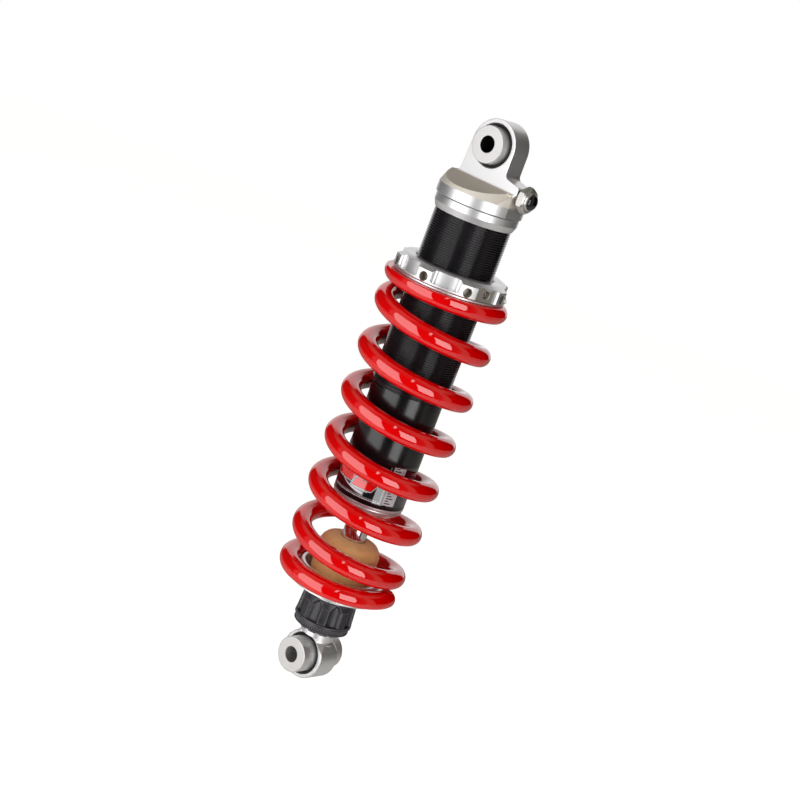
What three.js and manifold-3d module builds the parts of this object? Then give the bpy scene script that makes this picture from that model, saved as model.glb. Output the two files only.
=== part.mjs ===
// Motorcycle rear shock absorber: a gas-charged monotube damper inside a coil spring.
//
// Millimetres, +Z up. The origin is the centre of the top eye. Y is the axis of both mounting bolts, the
// front of the shock is -Y, and the gas valve points along +X. The lower eye is straight below, on -Z.
import * as THREE from "three";
import { mergeVertices } from "three/addons/utils/BufferGeometryUtils.js";
import Module from "manifold-3d";

const wasm = await Module();
wasm.setup();

// ---------------------------------------------------------------- driving dimensions
const EYE_TO_EYE = 350; // fully extended, from bolt centre to bolt centre
const BOLT_R = 5.1; // clearance for an M10 bolt
const GAP = 0.3; // left between faces that touch on the real shock
const FACETS = 32; // round the large turned pieces
const FINE_FACETS = 20; // round the small and the hidden ones

const LOWER_Z = -EYE_TO_EYE;
const TOP_EYE = { z: 0, r: 16.5, halfThickness: 7.5, halfSleeve: 13.65 };
const LOWER_EYE = { z: LOWER_Z, r: 16.5, halfThickness: 8.5, halfSleeve: 19 };
const BEARING = { bore: 7.4, ball: 9.5, race: 12, half: 4.5, spacer: 11.65, seal: 13.4 };

const HEAD = { shelfZ: -22.3, shelfR: 24.4, shoulderZ: -30.6, r: 27.9, bottomZ: -37.1, flatX: 27, endX: 29 };
const SHELF_FALL = 0.31; // how far the shelf drops for each millimetre away from the lug
const SPIGOT = { r: 20.6, bottomZ: -58 };
const VALVE = { z: -22.5, acrossFlats: 14.7, hexStart: 1.3, hexEnd: 6, tipX: 38.8 };

const TUBE = { topZ: -37.6, bottomZ: -235.4, threadR: 24.85, threadEndZ: -161, r: 23.6, bore: 21 };
const SEAL_HEAD = { topZ: -214, bottomZ: -242, bodyR: 20.7, groove: 19 };
const ROD_R = 8;
const ROD_POST_R = 5; // the reduced end that carries the piston
const PISTON_R = 20.6;
const PISTON_SHOULDER_Z = -206;

const SPRING = { topZ: -90.2, bottomZ: -297.1, wire: 12.7, meanR: 34.75, pitch: 31.12, lowPitch: 4, knee: 2.9 };
const RING = { topZ: -78, bottomZ: -88.4, r: 37.3, bore: 25.15, coneTopR: 32.1, coneFootZ: -80.6 };
const NOTCH = { count: 8, firstDeg: -57, halfDeg: 15, backR: 34, cornerR: 3, floorZ: -87.1, flatX: 35.35 };
const RING_HOLE = { pinR: 2.9, pinZ: -84.9, screwR: 2.6, screwZ: -83.9 };
const SEAT = { r: 36.4, thickness: 1.2, guideR: 27.6, guideBottomZ: -98 };

const PERCH = { r: 34.3, stepR: 31.5, guideR: 27.4, guideTopZ: -289, floorZ: -299.5, bottomZ: -307.4, hubR: 17 };
const BUMP = { topZ: -266, r: 20.5 };
const STEM_R = 11;
const NECK = { r: 11.6, coneTopZ: -337.6, coneFootZ: -345, coneFootR: 19, millTopZ: -335.4 };
const KNOB = { topZ: -307.8, bottomZ: -325.4, r: 19.2, lobes: 8, firstLobeDeg: -54 };
const DETENT = { topZ: -325.8, bottomZ: -331.2, r: 18.7, notches: 12 };

// ---------------------------------------------------------------- solids
// A closed three.js geometry as a solid that joins and cuts. Its faces are turned to point outwards.
function solid(geometry) {
  const plain = geometry.index ? geometry.toNonIndexed() : geometry.clone();
  plain.deleteAttribute("normal");
  plain.deleteAttribute("uv");
  const merged = mergeVertices(plain, 1e-4);
  const index = merged.index.array;
  const position = merged.attributes.position;
  const [a, b, c] = [new THREE.Vector3(), new THREE.Vector3(), new THREE.Vector3()];
  const kept = [];
  let volume = 0;
  for (let i = 0; i < index.length; i += 3) {
    const [p, q, r] = index.slice(i, i + 3);
    if (p === q || q === r || r === p) continue;
    kept.push(p, q, r);
    a.fromBufferAttribute(position, p);
    b.fromBufferAttribute(position, q);
    c.fromBufferAttribute(position, r);
    volume += a.dot(b.cross(c));
  }
  if (volume < 0) kept.reverse();
  return new wasm.Manifold(
    new wasm.Mesh({ numProp: 3, vertProperties: position.array, triVerts: new Uint32Array(kept) }),
  );
}

// Turned about Z from [radius, z] corners. A ring's profile is closed here; a shaft's ends lie on the axis.
function turned(profile, facets = FACETS) {
  const points = profile.map(([r, z]) => new THREE.Vector2(r, z));
  const onAxis = profile[0][0] === 0 && profile.at(-1)[0] === 0;
  if (!onAxis) points.push(points[0].clone());
  return solid(new THREE.LatheGeometry(points, facets).rotateX(Math.PI / 2));
}

function ring(inner, outer, low, high, facets = FACETS) {
  return turned([[inner, low], [outer, low], [outer, high], [inner, high]], facets);
}

// A bar along an axis, from low to high on that axis and centred on (u, v) of the other two, in X, Y, Z order.
function bar(axis, r, low, high, [u, v] = [0, 0], facets = FINE_FACETS) {
  const geometry = new THREE.CylinderGeometry(r, r, high - low, facets);
  const middle = (low + high) / 2;
  if (axis === "x") geometry.rotateZ(-Math.PI / 2).translate(middle, u, v);
  if (axis === "y") geometry.translate(u, middle, v);
  if (axis === "z") geometry.rotateX(Math.PI / 2).translate(u, v, middle);
  return solid(geometry);
}

function box([x0, y0, z0], [x1, y1, z1]) {
  const geometry = new THREE.BoxGeometry(x1 - x0, y1 - y0, z1 - z0);
  return solid(geometry.translate((x0 + x1) / 2, (y0 + y1) / 2, (z0 + z1) / 2));
}

// A shape drawn in X and Z, given a thickness along Y, from -half to +half.
function plate(shape, half, curveSegments = 12) {
  const geometry = new THREE.ExtrudeGeometry(shape, { depth: 2 * half, bevelEnabled: false, curveSegments });
  return solid(geometry.rotateX(Math.PI / 2).translate(0, half, 0));
}

// A shape drawn in X and Y, from z = low to z = high.
function slab(shape, low, high, curveSegments = 12) {
  const geometry = new THREE.ExtrudeGeometry(shape, { depth: high - low, bevelEnabled: false, curveSegments });
  return solid(geometry.translate(0, 0, low));
}

function roundAbout(count, firstDeg, make) {
  return Array.from({ length: count }, (_, i) => make(THREE.MathUtils.degToRad(firstDeg + (i * 360) / count)));
}

function turnedAboutZ(piece, radians) {
  return piece.rotate([0, 0, THREE.MathUtils.radToDeg(radians)]);
}

// ---------------------------------------------------------------- materials and the assembly
const finish = (color, roughness, metalness) => ({ color, roughness, metalness });
const ALUMINIUM = finish(0xc9c9cb, 0.32, 1);
const SPACER = finish(0xb9b7b2, 0.28, 1);
const STEEL = finish(0x8c8c90, 0.3, 1);
const CHROME = finish(0xdadbe0, 0.06, 1);
const BLACK_ANODISED = finish(0x0c0c0d, 0.28, 0.6);
const BLACK_PLASTIC = finish(0x17171a, 0.45, 0);
const RUBBER = finish(0x0b0b0c, 0.6, 0);
const RED_PAINT = finish(0xd2060c, 0.12, 0);
const FOAM = finish(0xc08a4a, 0.85, 0);
const BRONZE = finish(0x9a7340, 0.35, 1);

const shock = new THREE.Group();

function add(name, piece, look) {
  const { vertProperties, triVerts } = piece.getMesh();
  const geometry = new THREE.BufferGeometry();
  geometry.setAttribute("position", new THREE.BufferAttribute(new Float32Array(vertProperties), 3));
  geometry.setIndex(new THREE.BufferAttribute(new Uint32Array(triVerts), 1));
  const mesh = new THREE.Mesh(geometry, new THREE.MeshStandardMaterial(look));
  mesh.name = name;
  shock.add(mesh);
}

// ---------------------------------------------------------------- top eye and head
// The lug seen from the front: a round eye, a straight left flank, and on the right a foot for the gas valve.
function lugShape() {
  const { r } = TOP_EYE;
  const flankX = -17.7;
  const fillet = 3;
  const [footLow, footTop] = [-24, -15];
  const shape = new THREE.Shape();
  shape.absarc(0, 0, r, 0, Math.PI, false);
  shape.lineTo(flankX, HEAD.shelfZ + fillet);
  shape.quadraticCurveTo(flankX, HEAD.shelfZ, flankX - fillet, HEAD.shelfZ);
  shape.lineTo(flankX - fillet, HEAD.shoulderZ);
  shape.lineTo(HEAD.flatX, HEAD.shoulderZ);
  shape.lineTo(HEAD.flatX, footLow);
  shape.lineTo(HEAD.endX, footLow + 2);
  shape.lineTo(HEAD.endX, footTop - 1.6);
  shape.lineTo(r + fillet, footTop);
  shape.quadraticCurveTo(r, footTop, r, footTop + fillet);
  return shape;
}

// The uncut rim under the foot. Its top falls away on both sides of the lug.
function valveBoss() {
  const fallY = 15.1;
  const flat = TOP_EYE.halfThickness;
  const shape = new THREE.Shape([
    new THREE.Vector2(-fallY, HEAD.shoulderZ),
    new THREE.Vector2(-flat, HEAD.shelfZ),
    new THREE.Vector2(flat, HEAD.shelfZ),
    new THREE.Vector2(fallY, HEAD.shoulderZ),
  ]);
  const prism = new THREE.ExtrudeGeometry(shape, { depth: HEAD.flatX, bevelEnabled: false });
  prism.rotateX(Math.PI / 2).rotateZ(Math.PI / 2);
  return solid(prism).intersect(bar("z", HEAD.r, HEAD.shoulderZ, HEAD.shelfZ, [0, 0], FACETS));
}

// What is milled off above the shelf, in front of the lug. The shelf falls away from it.
function aboveShelf() {
  const { shelfZ, r } = HEAD;
  const lugY = TOP_EYE.halfThickness;
  const outY = r + 1;
  const shape = new THREE.Shape([
    new THREE.Vector2(-lugY, shelfZ),
    new THREE.Vector2(-lugY, shelfZ + 1),
    new THREE.Vector2(-outY, shelfZ + 1),
    new THREE.Vector2(-outY, shelfZ - SHELF_FALL * (outY - lugY)),
  ]);
  const prism = new THREE.ExtrudeGeometry(shape, { depth: 2 * outY, bevelEnabled: false });
  return solid(prism.translate(0, 0, -outY).rotateX(Math.PI / 2).rotateZ(Math.PI / 2));
}

function topEyeHead() {
  const { shelfZ, shelfR, shoulderZ, r, bottomZ, flatX } = HEAD;
  const y = TOP_EYE.halfThickness;
  const blank = turned([
    [0, shelfZ], [shelfR, shelfZ], [r, shoulderZ], [r, bottomZ], [SPIGOT.r, bottomZ],
    [SPIGOT.r, SPIGOT.bottomZ], [0, SPIGOT.bottomZ],
  ]);
  const gasPassage = bar("z", 1.5, SPIGOT.bottomZ - 1, VALVE.z, [0, 0], 12)
    .add(bar("x", 1.5, 0, 22, [0, VALVE.z], 12))
    .add(bar("x", 3.2, 20, HEAD.endX + 1, [0, VALVE.z], 24));
  const sealDepth = BEARING.half + GAP;
  const eyeBore = bar("y", BEARING.race + 0.2, -y - 1, y + 1)
    .add(bar("y", BEARING.seal + 0.2, sealDepth, y + 1))
    .add(bar("y", BEARING.seal + 0.2, -y - 1, -sealDepth));
  return blank
    .subtract(aboveShelf())
    .subtract(aboveShelf().mirror([0, 1, 0]))
    .subtract(box([flatX, -r, bottomZ - 1], [r + 1, r, shelfZ + 1]))
    .add(valveBoss())
    .add(plate(lugShape(), y))
    .subtract(eyeBore)
    .subtract(gasPassage);
}

// A hexagon on a short threaded shank, with its cap as a separate dome.
function hexagon(acrossFlats) {
  const corner = acrossFlats / 2 / Math.cos(Math.PI / 6);
  return new THREE.Shape(
    roundAbout(6, 0, (t) => new THREE.Vector2(corner * Math.cos(t), corner * Math.sin(t))),
  );
}

function alongX(piece, x) {
  return piece.rotate([0, 90, 0]).translate([x, 0, VALVE.z]);
}

function addGasValve() {
  const { acrossFlats, hexStart, hexEnd, tipX } = VALVE;
  const cap = tipX - HEAD.endX;
  const shank = bar("z", 2.8, -7, hexStart + 1, [0, 0], 24);
  const stem = bar("z", 3.2, hexEnd - 1, hexEnd + 2, [0, 0], 24);
  const hex = slab(hexagon(acrossFlats), hexStart, hexEnd);
  add("gas_valve", alongX(shank.add(hex).add(stem), HEAD.endX), STEEL);
  add("gas_valve_seal", alongX(ring(3.2, 5.2, GAP, hexStart - GAP, 24), HEAD.endX), RUBBER);
  const foot = hexEnd + GAP;
  const dome = turned([
    [3.5, foot], [5.6, foot], [5.6, foot + 1.2], [4.9, cap - 1.2], [3.2, cap - 0.3], [0, cap], [0, cap - 1],
    [3.5, cap - 1],
  ], 24);
  add("gas_valve_cap", alongX(dome, HEAD.endX), BLACK_PLASTIC);
}

// ---------------------------------------------------------------- eye bearings
// A ball turns in a race held by the eye. Two flanged spacers meet inside the ball, each with a seal round it.
function addEyeBearing(where, eye) {
  const { bore, ball, race, half, spacer, seal } = BEARING;
  const lying = (piece) => piece.rotate([90, 0, 0]).translate([0, 0, eye.z]);
  add(`${where}_bearing_race`, lying(ring(ball + 0.2, race, -half, half, FINE_FACETS)), STEEL);
  add(`${where}_bearing_ball`, lying(ring(bore, ball, -half, half, FINE_FACETS)), STEEL);
  const flange = half + GAP;
  const spacerPiece = turned([
    [BOLT_R, 0.15], [bore - 0.2, 0.15], [bore - 0.2, flange], [spacer, flange],
    [spacer, eye.halfSleeve - 0.5], [spacer - 0.5, eye.halfSleeve], [BOLT_R, eye.halfSleeve],
  ], FINE_FACETS);
  const sealPiece = ring(spacer + 0.25, seal, flange + 0.2, eye.halfThickness - 0.4, FINE_FACETS);
  add(`${where}_spacer_front`, lying(spacerPiece), SPACER);
  add(`${where}_spacer_rear`, lying(spacerPiece.mirror([0, 0, 1])), SPACER);
  add(`${where}_seal_front`, lying(sealPiece), RUBBER);
  add(`${where}_seal_rear`, lying(sealPiece.mirror([0, 0, 1])), RUBBER);
}

// ---------------------------------------------------------------- damper body
function addBody() {
  const { topZ, bottomZ, threadR, threadEndZ, r, bore } = TUBE;
  add("top_eye_head", topEyeHead(), ALUMINIUM);
  addGasValve();
  add("body_lock_ring", turned([
    [threadR + 0.2, topZ], [26.9, topZ], [26.9, -42.1], [threadR + 0.2, -46.1],
  ]), ALUMINIUM);
  add("body_tube", turned([
    [bore, topZ], [threadR, topZ], [threadR, threadEndZ], [r, threadEndZ - 1.3], [r, bottomZ], [bore, bottomZ],
  ]), BLACK_ANODISED);
}

function addSealHead() {
  const { topZ, bottomZ, bodyR, groove } = SEAL_HEAD;
  const flangeZ = TUBE.bottomZ - GAP;
  const [grooveLow, grooveHigh] = [-222.5, -219];
  const [bushR, pocketR] = [9.8, 12];
  const [bushZ, pocketZ] = [-227, -231];
  add("seal_head", turned([
    [bushR, topZ], [bodyR, topZ], [bodyR, grooveHigh], [groove, grooveHigh], [groove, grooveLow],
    [bodyR, grooveLow], [bodyR, flangeZ], [TUBE.r, flangeZ], [TUBE.r, bottomZ + 1], [TUBE.r - 1, bottomZ],
    [pocketR, bottomZ], [pocketR, pocketZ], [ROD_R + 0.4, pocketZ], [ROD_R + 0.4, bushZ], [bushR, bushZ],
  ]), ALUMINIUM);
  add("seal_head_oring", ring(groove + 0.2, bodyR, grooveLow + 0.4, grooveHigh - 0.4), RUBBER);
  add("rod_bushing", ring(ROD_R + 0.2, bushR - 0.2, bushZ + GAP, topZ - 0.5, FINE_FACETS), BRONZE);
  add("rod_seal", ring(ROD_R + 0.2, pocketR - 0.2, -237, pocketZ - GAP, FINE_FACETS), RUBBER);
  add("dust_wiper", turned([
    [ROD_R + 0.2, -237.3], [pocketR - 0.2, -237.3], [pocketR - 0.2, -241.6], [10, -241.8], [8.6, -243.6],
    [ROD_R + 0.2, -243.6],
  ], FINE_FACETS), RUBBER);
}

function addFloatingPiston() {
  const [low, high] = [-112, -97];
  const [grooveLow, grooveHigh] = [-106.5, -102.5];
  const cup = 14;
  add("floating_piston", turned([
    [0, low], [PISTON_R, low], [PISTON_R, grooveLow], [18.6, grooveLow], [18.6, grooveHigh],
    [PISTON_R, grooveHigh], [PISTON_R, high], [cup, high], [cup, low + 5], [0, low + 5],
  ], FINE_FACETS), ALUMINIUM);
  const seal = ring(18.8, PISTON_R, grooveLow + 0.4, grooveHigh - 0.4, FINE_FACETS);
  add("floating_piston_seal", seal, RUBBER);
}

// ---------------------------------------------------------------- main piston, on the rod's reduced end
function shimStack(low, radii) {
  const thickness = 0.8;
  const inner = ROD_POST_R + 0.2;
  const corners = radii.flatMap((r, i) => [[r, low + i * thickness], [r, low + (i + 1) * thickness]]);
  return turned([[inner, low], ...corners, [inner, low + radii.length * thickness]], FINE_FACETS);
}

function addPiston() {
  const low = PISTON_SHOULDER_Z + 3;
  const high = low + 14;
  const [grooveLow, grooveHigh] = [low + 4, low + 10];
  const grooveR = 19.2;
  let piston = turned([
    [ROD_POST_R + 0.2, low], [PISTON_R, low], [PISTON_R, grooveLow], [grooveR, grooveLow],
    [grooveR, grooveHigh], [PISTON_R, grooveHigh], [PISTON_R, high], [ROD_POST_R + 0.2, high],
  ], FINE_FACETS);
  const portCircle = 12.5;
  roundAbout(6, 0, (t) => {
    const centre = [portCircle * Math.cos(t), portCircle * Math.sin(t)];
    piston = piston.subtract(bar("z", 2.4, low - 1, high + 1, centre, 12));
  });
  add("damper_piston", piston, ALUMINIUM);
  const band = ring(grooveR + 0.2, PISTON_R + 0.1, grooveLow + GAP, grooveHigh - GAP, FINE_FACETS);
  add("piston_band", band, BRONZE);
  add("compression_shims", shimStack(low - 2.7, [11, 14, 17]), STEEL);
  add("rebound_shims", shimStack(high + GAP, [17, 14, 11]), STEEL);
  const nut = slab(hexagon(16), high + 3.2, high + 10);
  add("piston_nut", nut.subtract(bar("z", ROD_POST_R + 0.2, high, high + 12)), STEEL);
}

function addRod() {
  const shoulder = PISTON_SHOULDER_Z;
  const needleBore = 3;
  const [lowerShoulder, end] = [-303.6, -314];
  add("damper_rod", turned([
    [needleBore, end], [7, end], [7, lowerShoulder], [ROD_R, lowerShoulder], [ROD_R, shoulder],
    [ROD_POST_R, shoulder], [ROD_POST_R, -177], [needleBore, -177],
  ], FINE_FACETS), CHROME);
  add("top_out_bumper", turned([
    [ROD_R + 0.3, -213.4], [14, -213.4], [15, -211.5], [14, -209.4], [ROD_R + 0.3, -209.4],
  ], FINE_FACETS), RUBBER);
  const pinZ = -320;
  const pinR = 1.5;
  const needle = turned([
    [0, -323], [2.6, -323], [2.6, -192], [1, -182], [0, -182],
  ], 16).subtract(bar("x", pinR + 0.3, -4, 4, [0, pinZ], 16));
  add("metering_needle", needle, STEEL);
  add("adjuster_pin", bar("x", pinR, -13.2, 13.2, [0, pinZ], 16), STEEL);
}

// ---------------------------------------------------------------- spring
// Height of the wire's centre over its end face, against turns from the reference direction. Each end starts
// almost flat, at lowPitch, and bends smoothly into the working pitch.
function endHeight(turns, flatStart, workingStart, lowPitch) {
  const flat = flatStart + lowPitch * turns;
  const working = workingStart + SPRING.pitch * turns;
  return working + SPRING.knee * Math.log1p(Math.exp((flat - working) / SPRING.knee));
}

// A left-hand helix. u runs from the top tip to the bottom tip.
class SpringLine extends THREE.Curve {
  getPoint(u, target = new THREE.Vector3()) {
    const [tipTurn, lastTurn] = [-0.1, 7.46]; // counted from the top coil's left-hand extreme
    const workingFromTop = -11.2;
    const turn = tipTurn + u * (lastTurn - tipTurn);
    const down = endHeight(turn, 2, workingFromTop, SPRING.lowPitch);
    const height = SPRING.topZ - SPRING.bottomZ;
    const bottomWorking = height - workingFromTop - SPRING.pitch * lastTurn;
    const up = endHeight(lastTurn - turn, 3.4, bottomWorking, SPRING.lowPitch);
    const straight = workingFromTop + SPRING.pitch * turn;
    const z = SPRING.topZ - (down + (height - up) - straight);
    const angle = THREE.MathUtils.degToRad(-144 + 360 * turn);
    return target.set(SPRING.meanR * Math.cos(angle), SPRING.meanR * Math.sin(angle), z);
  }
}

function mainSpring() {
  const wire = new THREE.Shape().absarc(0, 0, SPRING.wire / 2, 0, 2 * Math.PI, false);
  const coil = solid(new THREE.ExtrudeGeometry(wire, {
    steps: 120, curveSegments: 4, bevelEnabled: false, extrudePath: new SpringLine(),
  }));
  const reach = SPRING.meanR + SPRING.wire;
  return coil.intersect(box([-reach, -reach, SPRING.bottomZ], [reach, reach, SPRING.topZ]));
}

// ---------------------------------------------------------------- preload ring and spring seat
// One of the notches for a hook spanner, milled from the top. Its back corners are round and a lip is left below.
function spannerNotch(t) {
  const { halfDeg, backR, cornerR, floorZ } = NOTCH;
  const half = THREE.MathUtils.degToRad(halfDeg);
  const mouthR = RING.r + 4;
  const cornerAt = backR + cornerR;
  const cornerAngle = half - Math.asin(cornerR / cornerAt);
  const [x, y] = [cornerAt * Math.cos(cornerAngle), cornerAt * Math.sin(cornerAngle)];
  const shape = new THREE.Shape();
  shape.moveTo(mouthR * Math.cos(half), -mouthR * Math.sin(half));
  shape.lineTo(mouthR * Math.cos(half), mouthR * Math.sin(half));
  shape.absarc(x, y, cornerR, half + Math.PI / 2, cornerAngle + Math.PI, false);
  shape.absarc(0, 0, backR, cornerAngle, -cornerAngle, true);
  shape.absarc(x, -y, cornerR, Math.PI - cornerAngle, 1.5 * Math.PI - half, false);
  return turnedAboutZ(slab(shape, floorZ, RING.topZ + 1, 3), t);
}

function radialHole(r, depth, z, t) {
  return turnedAboutZ(bar("x", r, RING.r - depth, RING.r + 2, [0, z], 16), t);
}

function addPreloadRing() {
  const { topZ, bottomZ, r, bore, coneTopR, coneFootZ } = RING;
  const { pinR, pinZ, screwR, screwZ } = RING_HOLE;
  const screwIndex = 1; // this notch is a flat with the clamp screw's hole instead
  const stepDeg = 360 / NOTCH.count;
  const screwDeg = NOTCH.firstDeg + screwIndex * stepDeg;
  const halfStep = THREE.MathUtils.degToRad(stepDeg / 2);
  let piece = turned([
    [bore, bottomZ], [r - 0.4, bottomZ], [r, bottomZ + 0.4], [r, coneFootZ], [coneTopR, topZ], [bore, topZ],
  ]);
  roundAbout(NOTCH.count, NOTCH.firstDeg, (t) => {
    const isScrewFlat = Math.abs(THREE.MathUtils.radToDeg(t) - screwDeg) < 1;
    const flat = turnedAboutZ(box([NOTCH.flatX, -8.2, bottomZ - 1], [r + 2, 8.2, topZ + 1]), t);
    piece = piece.subtract(isScrewFlat ? flat : spannerNotch(t));
    piece = piece.subtract(radialHole(pinR, 5, pinZ, t + halfStep));
    if (isScrewFlat) piece = piece.subtract(radialHole(screwR, r - bore + 1, screwZ, t));
  });
  add("preload_ring", piece, ALUMINIUM);
  const socket = new THREE.ExtrudeGeometry(hexagon(2.5), { depth: 3, bevelEnabled: false });
  const screw = bar("x", screwR - 0.25, bore + 0.3, r - 4.5, [0, screwZ], 16)
    .subtract(solid(socket.rotateY(Math.PI / 2).translate(r - 6.5, 0, screwZ)));
  add("clamp_screw", turnedAboutZ(screw, THREE.MathUtils.degToRad(screwDeg)), STEEL);
}

function addSpringSeat() {
  const { r, thickness, guideR, guideBottomZ } = SEAT;
  const flangeBottom = SPRING.topZ + GAP;
  const flangeTop = flangeBottom + thickness;
  add("spring_seat", turned([
    [TUBE.threadR + 0.3, flangeTop], [r, flangeTop], [r, flangeBottom], [guideR, flangeBottom],
    [guideR, guideBottomZ + 1.5], [guideR - 1.2, guideBottomZ], [TUBE.threadR + 0.3, guideBottomZ],
  ]), ALUMINIUM);
}

// ---------------------------------------------------------------- lower end
function addBumpStopAndPerch() {
  const { r, stepR, guideR, guideTopZ, floorZ, bottomZ, hubR } = PERCH;
  const springZ = SPRING.bottomZ - GAP;
  const stemBore = STEM_R + 0.25;
  add("bump_stop", turned([
    [ROD_R + 0.3, floorZ + GAP], [18.5, floorZ + GAP], [20, floorZ + 3], [BUMP.r, BUMP.topZ - 14],
    [BUMP.r, BUMP.topZ - 5], [19, BUMP.topZ - 1.6], [16, BUMP.topZ], [ROD_R + 0.3, BUMP.topZ],
  ]), FOAM);
  const shelfBelow = -303.3;
  add("spring_perch", turned([
    [ROD_R + 0.3, floorZ], [guideR - 2.6, floorZ], [guideR - 2.6, guideTopZ], [guideR - 1, guideTopZ],
    [guideR, guideTopZ - 1.5], [guideR, springZ], [r, springZ], [r, -299.1], [stepR, -299.3],
    [stepR, -301.2], [24, -302.6], [hubR + 1, -303.4], [hubR, bottomZ], [stemBore, bottomZ],
    [stemBore, shelfBelow], [ROD_R + 0.3, shelfBelow],
  ]), ALUMINIUM);
}

// Raised pads with open flutes between them, over a bore that clears the stem and the adjuster pin.
function addReboundKnob() {
  const { topZ, bottomZ, r, lobes, firstLobeDeg } = KNOB;
  const pinRoom = 14;
  let piece = turned([
    [STEM_R + 0.3, topZ], [16.6, topZ], [17.6, topZ - 1], [r, bottomZ + 3], [r, bottomZ + 0.4],
    [r - 0.4, bottomZ], [pinRoom, bottomZ], [pinRoom, topZ - 2], [STEM_R + 0.3, topZ - 2],
  ]);
  const fluteR = 5.5;
  roundAbout(lobes, firstLobeDeg + 180 / lobes, (t) => {
    const reach = r + fluteR - 2.2;
    const centre = [reach * Math.cos(t), reach * Math.sin(t)];
    piece = piece.subtract(bar("z", fluteR, bottomZ + 1.8, topZ + 1, centre, 16));
  });
  add("rebound_knob", piece, BLACK_PLASTIC);
}

function addDetentRing() {
  const { topZ, bottomZ, r, notches } = DETENT;
  const flangeZ = topZ - 3.4;
  let piece = turned([
    [STEM_R + 0.3, topZ], [r, topZ], [r, flangeZ], [r - 2, flangeZ], [r - 3.4, bottomZ], [STEM_R + 0.3, bottomZ],
  ]);
  roundAbout(notches, 0, (t) => {
    const centre = [(r + 0.6) * Math.cos(t), (r + 0.6) * Math.sin(t)];
    piece = piece.subtract(bar("z", 1.7, flangeZ - 1, topZ - 1.2, centre, 8));
  });
  add("detent_ring", piece, BLACK_PLASTIC);
}

// Turned with its stem from one bar, with a cone under the neck, then milled flat in front and behind and
// rounded about the bolt.
function lowerEye() {
  const { z, r, halfThickness } = LOWER_EYE;
  const { r: neckR, coneTopZ, coneFootZ, coneFootR, millTopZ } = NECK;
  const stemTop = -303.6;
  const neckZ = DETENT.bottomZ - GAP;
  const blank = turned([
    [0, z - r], [coneFootR, z - r], [coneFootR, coneFootZ], [neckR, coneTopZ], [neckR, neckZ],
    [STEM_R, neckZ], [STEM_R, stemTop], [0, stemTop],
  ]);
  const y = halfThickness;
  const keep = bar("y", r, -y, y, [0, z], FACETS).add(bar("z", neckR + 1, z, stemTop, [0, 0], FACETS));
  const frontMill = box([-coneFootR, -coneFootR, z - r], [coneFootR, -y, millTopZ]);
  const rodThread = bar("z", 7.25, -314.4, stemTop + 1).add(bar("z", 3, -326, -300, [0, 0], 16));
  const pinSlot = box([-STEM_R - 1, -1.8, -324.5], [STEM_R + 1, 1.8, -315.6]);
  const sealDepth = BEARING.half + GAP;
  const bore = bar("y", BEARING.race + 0.2, -y - 1, y + 1, [0, z])
    .add(bar("y", BEARING.seal + 0.2, sealDepth, y + 1, [0, z]))
    .add(bar("y", BEARING.seal + 0.2, -y - 1, -sealDepth, [0, z]));
  return blank
    .intersect(keep)
    .subtract(frontMill)
    .subtract(frontMill.mirror([0, 1, 0]))
    .subtract(rodThread)
    .subtract(pinSlot)
    .subtract(bore);
}

addBody();
addSealHead();
addFloatingPiston();
addPiston();
addRod();
addSpringSeat();
addPreloadRing();
add("main_spring", mainSpring(), RED_PAINT);
addBumpStopAndPerch();
addReboundKnob();
addDetentRing();
add("lower_eye", lowerEye(), ALUMINIUM);
addEyeBearing("top", TOP_EYE);
addEyeBearing("lower", LOWER_EYE);

export default shock;
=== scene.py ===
"""The looks of a motorcycle rear shock absorber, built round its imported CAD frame.

Shapes are worked out in millimetres, in the row frame: the origin is the centre of the top eye, +Z is up the
damper, Y is the axis of both bolts and the gas valve points along +X.
"""
import math

import bmesh
import bpy
import numpy as np
from mathutils import Matrix, Vector


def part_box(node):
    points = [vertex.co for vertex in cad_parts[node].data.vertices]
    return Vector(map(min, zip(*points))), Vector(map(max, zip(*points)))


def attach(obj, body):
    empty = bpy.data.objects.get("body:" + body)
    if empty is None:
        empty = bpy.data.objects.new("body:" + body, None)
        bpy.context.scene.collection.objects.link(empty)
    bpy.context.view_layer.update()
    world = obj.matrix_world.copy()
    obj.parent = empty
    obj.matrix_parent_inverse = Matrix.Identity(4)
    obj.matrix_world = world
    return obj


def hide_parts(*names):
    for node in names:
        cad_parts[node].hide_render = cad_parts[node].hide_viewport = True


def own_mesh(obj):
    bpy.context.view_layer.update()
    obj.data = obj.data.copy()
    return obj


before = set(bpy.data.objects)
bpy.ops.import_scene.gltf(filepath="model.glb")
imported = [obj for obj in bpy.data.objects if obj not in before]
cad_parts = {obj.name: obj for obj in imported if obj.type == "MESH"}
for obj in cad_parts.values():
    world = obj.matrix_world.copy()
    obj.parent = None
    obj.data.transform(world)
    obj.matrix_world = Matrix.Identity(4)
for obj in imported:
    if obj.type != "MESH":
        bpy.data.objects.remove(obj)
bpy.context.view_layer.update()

MM = 0.001
ROUND = 144  # segments round the large turned pieces
SMALL_ROUND = 96


# ---------------------------------------------------------------- sizes from the frame
def low_high(node):
    """The lowest and highest corner of a CAD node, in millimetres."""
    low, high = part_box(node)
    return low / MM, high / MM


def radius_of(node):
    low, high = low_high(node)
    return (high.y - low.y) / 2


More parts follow.
